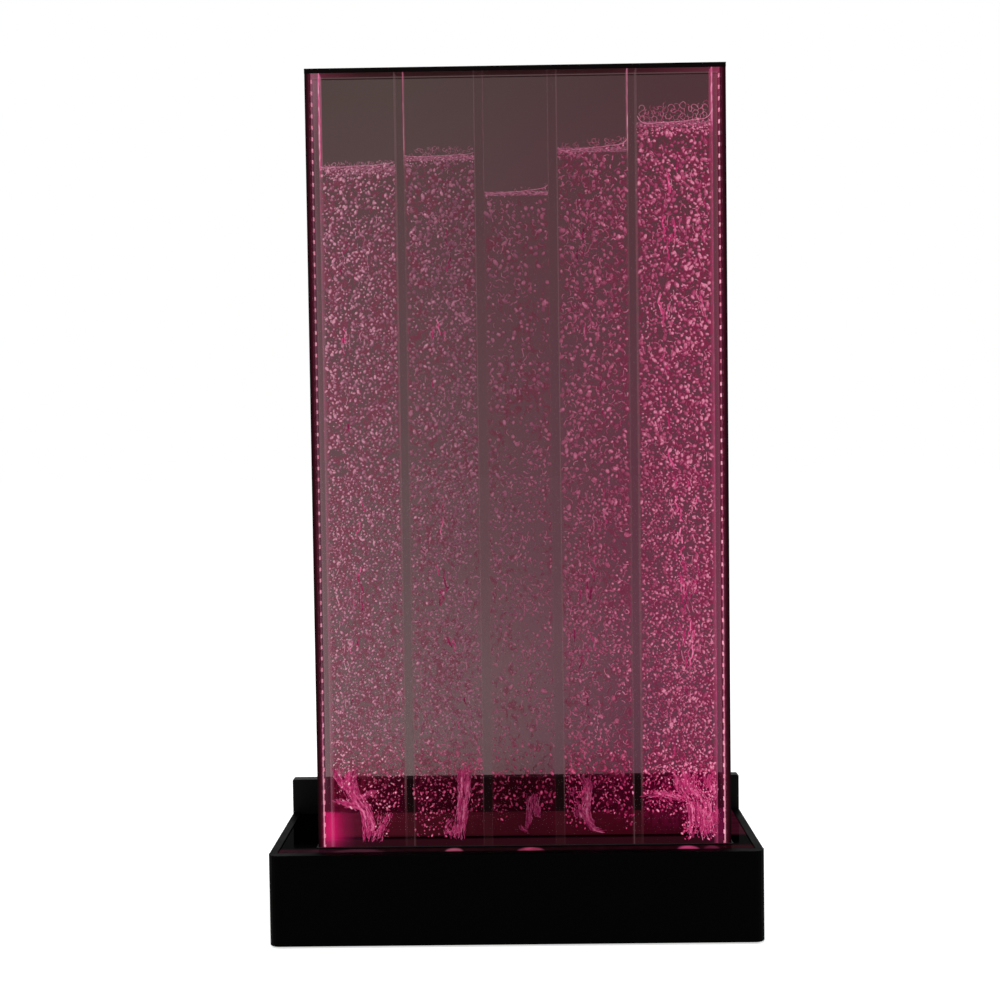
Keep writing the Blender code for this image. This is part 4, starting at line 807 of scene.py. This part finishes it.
def strand_tree():
    """Short strands of rushing air around a path, spreading as they go up."""
    tree, given = new_tree(
        "air_strands", Geometry=("Path",), Int=("Steps", "Strands", "Seed"), Material=("Skin",),
        Float=("Foot", "Head", "Thickness", "Wander", "Shortest", "Longest"))
    path = add(tree, "GeometryNodeResampleCurve", (0, given["Path"]), ("Count", given["Steps"]))
    along = add(tree, "GeometryNodeSplineParameter", out="Factor")
    path = add(tree, "GeometryNodeStoreNamedAttribute", (0, path), ("Name", "along"), ("Value", along),
               data_type="FLOAT", domain="POINT")
    copies = add(tree, "GeometryNodeDuplicateElements", (0, path), ("Amount", given["Strands"]),
                 domain="SPLINE").node.outputs
    strand = add(tree, "GeometryNodeStoreNamedAttribute", (0, copies[0]), ("Name", "strand"),
                 ("Value", copies["Duplicate Index"]), data_type="INT", domain="CURVE")
    number = add(tree, "GeometryNodeInputNamedAttribute", ("Name", "strand"), data_type="INT")
    progress = add(tree, "GeometryNodeInputNamedAttribute", ("Name", "along"), data_type="FLOAT")
    apart = add(tree, "FunctionNodeRandomValue", (0, (-1.0, -1.0, -0.1)), (1, (1.0, 1.0, 0.1)),
                ("ID", number), ("Seed", given["Seed"]), data_type="FLOAT_VECTOR")
    spread = add(tree, "ShaderNodeMapRange", (0, progress), (3, given["Foot"]), (4, given["Head"]))
    offset = add(tree, "ShaderNodeVectorMath", (0, apart), ("Scale", spread), operation="SCALE")
    strand = add(tree, "GeometryNodeSetPosition", (0, strand), ("Offset", offset))
    ripple_share = 0.28
    ripple = add(tree, "ShaderNodeMath", (0, given["Wander"]), (1, ripple_share), operation="MULTIPLY")
    for size_mm, reach in ((24, given["Wander"]), (7, ripple)):
        strand = shaken(tree, strand, size_mm, reach, ("W", number), noise_dimensions="4D")
    brightness = add(tree, "FunctionNodeRandomValue", (2, 0.0), (3, 1.0), ("ID", number), ("Seed", 31), out=1)
    strand = add(tree, "GeometryNodeStoreNamedAttribute", (0, strand), ("Name", "spark"),
                 ("Value", brightness), data_type="FLOAT", domain="CURVE")
    length = add(tree, "FunctionNodeRandomValue", (2, given["Shortest"]), (3, given["Longest"]),
                 ("ID", number), ("Seed", 32), out=1)
    room = add(tree, "ShaderNodeMath", (0, 1.0), (1, length), operation="SUBTRACT")
    chance = add(tree, "FunctionNodeRandomValue", (2, 0.0), (3, 1.0), ("ID", number), ("Seed", 33), out=1)
    start = add(tree, "ShaderNodeMath", (0, room), (1, chance), operation="MULTIPLY")
    end = add(tree, "ShaderNodeMath", (0, start), (1, length), operation="ADD")
    cut = add(tree, "GeometryNodeTrimCurve", (0, strand), (2, start), (3, end))
    return end_tubes(tree, cut, given)


def surface_tree():
    """The bright line of the water's surface along a pane, climbing at both walls."""
    tree, given = new_tree("surface_line", Vector=("Start", "End"), Float=("Climb", "Thickness", "Wander"),
                           Material=("Skin",))
    line = add(tree, "GeometryNodeCurvePrimitiveLine", (0, given["Start"]), (1, given["End"]))
    line = add(tree, "GeometryNodeResampleCurve", (0, line), ("Count", 48))
    along = add(tree, "GeometryNodeSplineParameter", out="Factor")
    bent = add(tree, "ShaderNodeMath", (0, along), (1, 2.0), (2, -1.0), operation="MULTIPLY_ADD")
    bent = add(tree, "ShaderNodeMath", (0, bent), operation="ABSOLUTE")
    bent = add(tree, "ShaderNodeMath", (0, bent), (1, 12.0), operation="POWER")
    climb = add(tree, "ShaderNodeMath", (0, bent), (1, given["Climb"]), operation="MULTIPLY")
    lift = add(tree, "ShaderNodeCombineXYZ", (2, climb))
    line = add(tree, "GeometryNodeSetPosition", (0, line), ("Offset", lift))
    line = shaken(tree, line, 14, given["Wander"], noise_dimensions="4D")
    line = add(tree, "GeometryNodeStoreNamedAttribute", (0, line), ("Name", "spark"), ("Value", 0.8),
               data_type="FLOAT", domain="POINT")
    return end_tubes(tree, line, given, sides=5)


def strip_tree():
    """An LED strip: a thin board with a row of packages on it."""
    tree, given = new_tree("led_strip", Vector=("Start", "Board", "Board Centre", "Package"),
                           Float=("Pitch",), Int=("Count",), Material=("Mask", "Lens"))
    board = add(tree, "GeometryNodeMeshCube", ("Size", given["Board"]))
    board = add(tree, "GeometryNodeTransform", (0, board), ("Translation", given["Board Centre"]))
    step = add(tree, "ShaderNodeCombineXYZ", ("Z", given["Pitch"]))
    row = add(tree, "GeometryNodeMeshLine", ("Count", given["Count"]), ("Start Location", given["Start"]),
              ("Offset", step))
    package = add(tree, "GeometryNodeMeshCube", ("Size", given["Package"]))
    placed = add(tree, "GeometryNodeInstanceOnPoints", (0, row), ("Instance", package))
    return end_tree(tree, (board, given["Mask"]), (placed, given["Lens"]))


# Pieces in the water

def slab(number, low_z, high_z, inset, depth_share=1.0, tilt=0.0):
    """A stretch of one channel, kept clear of its walls, as the inputs of a slab of points."""
    left, right = channels[number - 1]
    return {"Width": right - left - 2 * inset, "Height": high_z - low_z,
            "Depth": (water_rear - water_front - 2 * inset) * depth_share,
            "Centre": ((left + right) / 2, water_middle, (low_z + high_z) / 2), "Tilt": tilt}


def scatter(name, tree, area, seed, spacing, smallest, largest, void, share, skin, **more):
    """Grows bubbles or films in a slab; more holds the tree's further inputs."""
    grow(name, tree, {**area, "Seed": seed, "Spacing": spacing, "Smallest": smallest, "Largest": largest,
                      "Void Size": void, "Void Share": share, "Skin": skin, **more})


def by_channel(*rows):
    """Each channel's number and water level, with its row of values."""
    return [(number, level, *row) for number, (level, row) in enumerate(zip(water_levels, rows), start=1)]


def route(name, places):
    """A curve through those places, across and up, in the tank's middle plane."""
    line = bpy.data.curves.new(name, "CURVE")
    line.dimensions = "3D"
    spline = line.splines.new("POLY")
    spline.points.add(len(places) - 1)
    for point, (across, up) in zip(spline.points, places):
        point.co = (across, water_middle, up, 1)
    return line


def fill_with_bubbles(bubbles, blobs, films, skin, film):
    # Spacing, smallest and largest radius, void size and void share of the single bubbles
    for number, level, spacing, smallest, largest, void, share in by_channel(
            (0.0042, 0.0009, 0.0022, 0.045, 0.35), (0.0048, 0.0009, 0.0023, 0.050, 0.39),
            (0.0064, 0.0010, 0.0024, 0.050, 0.45), (0.0062, 0.0011, 0.0026, 0.055, 0.43),
            (0.0050, 0.0010, 0.0026, 0.045, 0.35)):
        # They grow and stand further apart as they rise, and their clouds get smaller: name, lowest and
        # highest point, and the shares of size, spacing and void size
        for part, low, high, growth, gap, clump in (("lower", 0.236, 0.42, 0.88, 0.78, 0.8),
                                                    ("middle", 0.42, 0.68, 1.0, 0.92, 0.7),
                                                    ("upper", 0.68, level - 0.003, 1.25, 1.08, 0.45)):
            scatter(f"bubbles_{number}_{part}", bubbles, slab(number, low, high, largest * growth), number,
                    spacing * gap, smallest * growth, largest * growth, void * clump,
                    share + 0.08 * (1 - clump), skin, Stretch=2.0)

    # Larger bubbles: spacing, smallest and largest radius, void share and crumple
    for number, level, spacing, smallest, largest, share, crumple in by_channel(
            (0.030, 0.0020, 0.0030, 0.56, 0.008), (0.024, 0.0022, 0.0034, 0.54, 0.012),
            (0.026, 0.0024, 0.0040, 0.54, 0.014), (0.020, 0.0022, 0.0038, 0.50, 0.014),
            (0.018, 0.0022, 0.0036, 0.52, 0.012)):
        scatter(f"wobbling_blobs_{number}", blobs, slab(number, foot_top, level - 0.014, largest * 1.3, 0.3),
                30 + number, spacing, smallest, largest, 0.05, share, skin, Crumple=crumple)

    # Films: spacing, smallest and largest radius and void share
    for number, level, spacing, smallest, largest, share in by_channel(
            (0.014, 0.0016, 0.0034, 0.48), (0.010, 0.0020, 0.0046, 0.46), (0.014, 0.0022, 0.0056, 0.48),
            (0.009, 0.0022, 0.0056, 0.44), (0.009, 0.0020, 0.0048, 0.46)):
        scatter(f"bubble_films_{number}", films, slab(number, 0.19, level - 0.012, largest, 0.2),
                40 + number, spacing, smallest, largest, 0.05, share, film, Thickness=0.00055, Arc=0.34,
                Wander=0.008)

    # Curls, the bright torn edges of large bubbles: spacing, smallest and largest radius and void share
    for number, level, spacing, smallest, largest, share in by_channel(
            (0.016, 0.0016, 0.0030, 0.50), (0.0105, 0.0018, 0.0040, 0.49), (0.0080, 0.0020, 0.0044, 0.56),
            (0.0095, 0.0018, 0.0042, 0.47), (0.0125, 0.0018, 0.0042, 0.50)):
        scatter(f"bubble_curls_{number}", films, slab(number, foot_top, level - 0.010, largest, 0.5),
                50 + number, spacing, smallest, largest, 0.06, share, skin, Thickness=0.0010, Arc=0.32,
                Wander=0.012)


def make_surfaces(bubbles, films, surfaces, froth, film):
    tilts = (0.05, 0.03, 0.10, 0.10, 0.06)

    # Froth: spacing, depth and radius of the fine bubbles packed at the surface
    for number, level, spacing, depth, radius in by_channel(
            (0.0024, 0.011, 0.0012), (0.0025, 0.009, 0.0012), (0.0030, 0.0020, 0.0009),
            (0.0026, 0.004, 0.0012), (0.0024, 0.012, 0.0013)):
        scatter(f"froth_{number}", bubbles,
                slab(number, level - depth, level + 0.0015, radius, tilt=tilts[number - 1]), 60 + number,
                spacing, radius * 0.5, radius * 1.5, 0.02, 0.34, froth, Stretch=1.6)

    # Cells above it: spacing, lowest and highest point over the level, smallest and largest radius and
    # void share
    for number, level, spacing, low, high, smallest, largest, share in by_channel(
            (0.0034, 0.001, 0.009, 0.0014, 0.0026, 0.42), (0.0038, 0.001, 0.014, 0.0014, 0.0028, 0.46),
            (0.0070, 0.000, 0.008, 0.0012, 0.0026, 0.50), (0.0044, 0.001, 0.013, 0.0014, 0.0032, 0.47),
            (0.0058, 0.001, 0.027, 0.0030, 0.0050, 0.34)):
        scatter(f"froth_cells_{number}", films,
                slab(number, level + low, level + high, largest, 0.5, tilts[number - 1]), 80 + number,
                spacing, smallest, largest, 0.03, share, film, Thickness=0.00036, Arc=0.8, Wander=0.006)

    # The surface's line on the front pane: thickness, climb and wander
    for number, level, thickness, climb, wander in by_channel(
            (0.0005, 0.003, 0.003), (0.0005, 0.003, 0.004), (0.0007, 0.005, 0.003), (0.0006, 0.007, 0.004),
            (0.0006, 0.012, 0.004)):
        left, right = channels[number - 1]
        slope = tilts[number - 1] * (right - left) / 2
        front = water_front + 0.002
        grow(f"surface_line_{number}", surfaces, {
            "Start": (left + 0.001, front, level - slope), "End": (right - 0.001, front, level + slope),
            "Climb": climb, "Thickness": thickness, "Wander": wander, "Skin": froth})


def make_jets(strands, jet):
    # Points across and up from the tank's middle, then the strands' number, their spread at foot and
    # head, and their shortest and longest share of the route
    jets = (
        ("1", ((-0.2335, 0.135), (-0.2324, 0.1605), (-0.2365, 0.1817), (-0.2468, 0.1969), (-0.2570, 0.2106),
               (-0.2605, 0.2287), (-0.2563, 0.2467)), 190, 0.0075, 0.010, 0.08, 0.30),
        ("1_left", ((-0.2365, 0.1817), (-0.2499, 0.1894), (-0.2663, 0.1926), (-0.2800, 0.1988)),
         60, 0.004, 0.008, 0.15, 0.5),
        ("1_far", ((-0.2570, 0.2106), (-0.2688, 0.2182), (-0.2780, 0.2349), (-0.2800, 0.2500)),
         40, 0.005, 0.008, 0.15, 0.5),
        ("1_right", ((-0.2468, 0.1969), (-0.2331, 0.2088), (-0.2151, 0.2116)), 24, 0.003, 0.005, 0.2, 0.6),
        ("1_cloud", ((-0.2240, 0.136), (-0.2180, 0.150), (-0.2100, 0.165), (-0.2040, 0.180)),
         90, 0.009, 0.012, 0.06, 0.16),
        ("2", ((-0.0981, 0.135), (-0.0947, 0.159), (-0.0914, 0.1801), (-0.0896, 0.2042), (-0.0892, 0.2298),
               (-0.0859, 0.2538)), 150, 0.0075, 0.0095, 0.08, 0.30),
        ("2_cloud", ((-0.1080, 0.138), (-0.1120, 0.155), (-0.1080, 0.172)), 50, 0.008, 0.010, 0.08, 0.2),
        ("3_left", ((0.0008, 0.1474), (0.0070, 0.1624), (0.0088, 0.188), (0.0106, 0.2091)),
         40, 0.004, 0.0045, 0.10, 0.4),
        ("3_right", ((0.0280, 0.1682), (0.0205, 0.1728), (0.0193, 0.1894), (0.0210, 0.206)),
         26, 0.003, 0.0035, 0.15, 0.5),
        ("3_foot", ((-0.0050, 0.158), (-0.0021, 0.1504), (0.0068, 0.1458)), 8, 0.002, 0.003, 0.3, 0.8),
        ("4", ((0.1218, 0.1476), (0.1039, 0.1508), (0.0951, 0.1645), (0.0908, 0.1796), (0.0955, 0.2021),
               (0.0957, 0.2202), (0.0884, 0.2308)), 120, 0.004, 0.008, 0.08, 0.30),
        ("4_left", ((0.0870, 0.160), (0.0850, 0.172), (0.0780, 0.190), (0.0740, 0.215)),
         50, 0.008, 0.012, 0.06, 0.2),
        ("5", ((0.2619, 0.1350), (0.2600, 0.1597), (0.2578, 0.1808), (0.2535, 0.1989), (0.2417, 0.2125),
               (0.2400, 0.2400)), 260, 0.019, 0.016, 0.05, 0.22),
        ("5_right", ((0.2740, 0.136), (0.2780, 0.165), (0.2790, 0.195), (0.2780, 0.240)),
         140, 0.010, 0.010, 0.05, 0.16),
        ("5_left", ((0.2480, 0.190), (0.2250, 0.200), (0.2050, 0.205), (0.1850, 0.200)),
         80, 0.010, 0.016, 0.05, 0.2),
    )
    for seed, (name, places, count, foot, head, shortest, longest) in enumerate(jets, start=100):
        line = route(f"jet_route_{name}", [(tank_middle + across, up) for across, up in places])
        lengths = {"Shortest": shortest, "Longest": longest, "Skin": jet}
        grow(f"air_jet_{name}", strands, {
            **lengths, "Steps": 50, "Strands": count, "Seed": seed, "Foot": foot, "Head": head,
            "Thickness": 0.0004, "Wander": 0.016}, start=line.copy())
        grow(f"air_core_{name}", strands, {
            **lengths, "Steps": 40, "Strands": count // 5, "Seed": seed + 50, "Foot": foot * 0.75,
            "Head": head * 0.75, "Thickness": 0.0015, "Wander": 0.012}, start=line)


def make_sprays(bubbles, skin):
    """Fine bubbles around the jets."""
    # Channel, ends across from the tank's middle, lowest and highest point, spacing, smallest and largest
    # radius, void share
    sprays = (
        (1, -0.2840, -0.1780, 0.190, 0.238, 0.0046, 0.0008, 0.0019, 0.42),
        (1, -0.2300, -0.2020, 0.138, 0.192, 0.0042, 0.0008, 0.0018, 0.44),
        (1, -0.2020, -0.1780, 0.176, 0.192, 0.0060, 0.0010, 0.0020, 0.44),
        (2, -0.1640, -0.1030, 0.142, 0.238, 0.0046, 0.0008, 0.0019, 0.42),
        (2, -0.0800, -0.0620, 0.180, 0.238, 0.0060, 0.0010, 0.0020, 0.42),
        (3, -0.0460, -0.0260, 0.168, 0.238, 0.0046, 0.0008, 0.0018, 0.40),
        (3, -0.0260, 0.0460, 0.184, 0.238, 0.0070, 0.0012, 0.0022, 0.46),
        (4, 0.0620, 0.0900, 0.155, 0.238, 0.0042, 0.0008, 0.0018, 0.38),
        (4, 0.1020, 0.1620, 0.175, 0.238, 0.0048, 0.0009, 0.0020, 0.42),
        (4, 0.1500, 0.1620, 0.150, 0.175, 0.0050, 0.0009, 0.0018, 0.42),
        (5, 0.1780, 0.2360, 0.175, 0.238, 0.0042, 0.0009, 0.0019, 0.38),
        (5, 0.2360, 0.2860, 0.136, 0.240, 0.0036, 0.0009, 0.0019, 0.30),
    )
    for spray, row in enumerate(sprays, start=1):
        number, left, right, low, high, spacing, smallest, largest, share = row
        area = slab(number, low, high, largest * 1.5)
        area["Width"] = right - left
        area["Centre"] = (tank_middle + (left + right) / 2, water_middle, (low + high) / 2)
        scatter(f"jet_spray_{spray}", bubbles, area, 119 + spray, spacing, smallest, largest, 0.02, share,
                skin, Stretch=2.2)


def make_trails(strands, jet, film):
    """Trails of fast bubbles, and plumes of torn air, up the channels."""
    # Channel, start and end across, number, spread, thickness and longest share of the route
    trails = ((1, -0.262, -0.250, 60, 0.016, 0.0006, 0.018), (1, -0.262, -0.205, 40, 0.012, 0.0006, 0.018),
              (2, -0.090, -0.125, 60, 0.018, 0.0006, 0.018), (3, 0.018, 0.000, 30, 0.014, 0.0006, 0.018),
              (4, 0.090, 0.120, 60, 0.026, 0.0006, 0.018), (5, 0.240, 0.215, 60, 0.016, 0.0006, 0.018),
              (5, 0.255, 0.262, 50, 0.014, 0.0006, 0.018), (1, -0.255, -0.240, 18, 0.014, 0.0010, 0.030),
              (2, -0.100, -0.130, 22, 0.016, 0.0010, 0.030), (4, 0.100, 0.115, 26, 0.022, 0.0011, 0.030),
              (5, 0.235, 0.220, 42, 0.013, 0.0012, 0.036), (5, 0.262, 0.268, 18, 0.010, 0.0010, 0.026))
    start, steps, widest_sway, thickest_trail = 0.25, 9, 0.012, 0.0008
    for trail, (number, low_place, high_place, count, spread, thickness, longest) in enumerate(trails, 1):
        seed = 139 + trail
        top = water_levels[number - 1] - 0.02
        places = []
        for step in range(steps):
            share = step / (steps - 1)
            sway = widest_sway * math.sin(2.3 * seed + 5.1 * share * math.pi / 2)
            places.append((tank_middle + low_place + (high_place - low_place) * share + sway,
                           start + (top - start) * share))
        grow(f"bubble_trail_{trail}", strands, {
            "Steps": 240, "Strands": count, "Seed": seed, "Foot": spread * 0.6, "Head": spread,
            "Thickness": thickness, "Wander": 0.026, "Shortest": longest / 3, "Longest": longest,
            "Skin": jet if thickness > thickest_trail else film}, start=route(f"trail_route_{seed}", places))


def fill_channels():
    bubbles, blobs, films = bubble_tree(), blob_tree(), film_tree()
    strands, surfaces = strand_tree(), surface_tree()
    skin = bubble_skin("air_bubbles_pink_lit", 1.0)
    froth = bubble_skin("froth_pink_lit", 1.25)
    film = bubble_skin("bubble_films_pink_lit", 1.1, 0.7)
    jet = jet_skin()
    fill_with_bubbles(bubbles, blobs, films, skin, film)
    make_surfaces(bubbles, films, surfaces, froth, film)
    make_jets(strands, jet)
    make_sprays(bubbles, skin)
    make_trails(strands, jet, film)


# Strips and finishes

def make_strips():
    """The two LED strips, in the place of their plain solids."""
    strip = strip_tree()
    thickness, package, end_margin = 0.0005, 0.005, 0.005
    for name, side in (("left_led_strip", -1), ("right_led_strip", 1)):
        low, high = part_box(name)
        outer, inner = (low.x, high.x) if side < 0 else (high.x, low.x)
        length, middle = high.z - low.z, (low.z + high.z) / 2
        count = int((length - end_margin) / led_pitch) + 1
        root = outer - side * thickness
        piece = grow(name + "_lit", strip, {
            "Start": ((root + inner) / 2, water_middle, middle - (count - 1) * led_pitch / 2),
            "Pitch": led_pitch, "Count": count, "Board": (thickness, high.y - low.y, length),
            "Board Centre": (outer - side * thickness / 2, water_middle, middle),
            "Package": (abs(root - inner), package, package), "Mask": strip_mask(side),
            "Lens": led_lens(side)})
        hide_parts(name)


def dress_nodes():
    dress(black_lacquer("black_satin_lacquer", 0.012), "front_board", "left_side_board", "right_side_board")
    dress(black_lacquer("black_satin_lacquer_rear", 0.06), "rear_board", "bottom_plate")
    dress(deck_gloss(), "deck_plate")
    dress(rubber(), "slot_gasket", "rubber_foot_front", "rubber_foot_rear")
    dress(clear_sheet(), "front_sheet")
    dress(smoked_sheet(), "rear_sheet")
    dress(side_bar_acrylic(-1), "left_side_bar")
    dress(side_bar_acrylic(1), "right_side_bar")
    for number in range(1, 5):
        dress(divider_acrylic(number), f"divider_{number}")
    dress(tank_water(), "water")
    dress(trim_anodised(), "left_edge_trim", "right_edge_trim")
    dress(cap_anodised(), "top_cap")
    dress(black_abs(), "tank_floor", "tank_cradle_left", "tank_cradle_right", "drain_elbow",
          "led_controller", "service_plate", "rocker_frame", "power_inlet", *five("air_nozzle"))
    dress(rocker_abs(), "rocker")
    dress(grey_abs(), "gang_valve", "air_pump")
    dress(red_abs(), "drain_lever", *five("flow_lever"))
    dress(silicone(), "pump_hose", "drain_hose", *five("air_hose"))
    dress(wire_sleeve(), "led_lead_left", "led_lead_right", "inlet_lead", "switch_lead", "pump_lead")
    dress(satin_brass(), "drain_valve")
    dress(zinc_steel(), "plate_screw_left", "plate_screw_right")


# Studio

def white_behind(tree, strength):
    """Full strength where the camera, a gloss or a glass sees it, and the given strength elsewhere."""
    path = tree.nodes.new("ShaderNodeLightPath").outputs
    seen = add(tree, "ShaderNodeMath", (0, path["Is Camera Ray"]), (1, path["Is Glossy Ray"]),
               operation="MAXIMUM")
    seen = add(tree, "ShaderNodeMath", (0, seen), (1, path["Is Transmission Ray"]), operation="MAXIMUM")
    return add(tree, "ShaderNodeMapRange", (0, seen), (3, strength), (4, 1.0))


def make_studio():
    world = bpy.data.worlds.new("studio")
    world.use_nodes = True
    bpy.context.scene.world = world
    sky = world.node_tree.nodes["Background"]
    sky.inputs["Color"].default_value = linear("ffffff")
    feed(sky, "Strength", white_behind(world.node_tree, 0.55))

    for name, place, power in (("key", (-1.8, -2.2, 3.2), 50), ("fill", (2.6, -1.6, 1.8), 24),
                               ("back", (0.6, 2.4, 3.8), 30)):
        lamp = bpy.data.lights.new(name, "AREA")
        lamp.size = 1.6
        lamp.energy = power
        light = bpy.data.objects.new(name, lamp)
        light.location = place
        aim = Vector((0, 0, 0.5)) - Vector(place)
        light.rotation_euler = aim.to_track_quat("-Z", "Y").to_euler()
        bpy.context.scene.collection.objects.link(light)

    mesh = bpy.data.meshes.new("studio_floor")
    reach = 30.0
    mesh.from_pydata([(-reach, -reach, 0), (reach, -reach, 0), (reach, reach, 0), (-reach, reach, 0)], [],
                     [(0, 1, 2, 3)])
    floor = bpy.data.objects.new("studio_floor", mesh)
    bpy.context.scene.collection.objects.link(floor)
    material, tree, shader = surface("pale_studio_floor", "e8e8e8", 0.9, specular_ior_level=0.0)
    feed(shader, "Emission Strength", white_behind(tree, 0.0))
    shader.inputs["Emission Color"].default_value = linear("cdcdcd")
    mesh.materials.append(material)


def make_camera():
    """Camera fitted to the outline: 2.01 m in front of the base, a little below the tank's middle."""
    data = bpy.data.cameras.new("camera")
    data.sensor_width = 36.0
    data.lens = 50.65
    camera = bpy.data.objects.new("camera", data)
    place = Vector((0.005, -2.140, 0.725))
    yaw, pitch, roll = math.radians(0.60), math.radians(-2.215), math.radians(-0.78)
    camera.matrix_world = (Matrix.Translation(place) @ Matrix.Rotation(yaw, 4, "Z")
                           @ Matrix.Rotation(math.pi / 2 + pitch, 4, "X") @ Matrix.Rotation(roll, 4, "Z"))
    bpy.context.scene.collection.objects.link(camera)
    bpy.context.scene.camera = camera


make_camera()
make_studio()
dress_nodes()
make_strips()
fill_channels()

bpy.context.scene.view_settings.view_transform = "Standard"
bpy.context.view_layer.update()
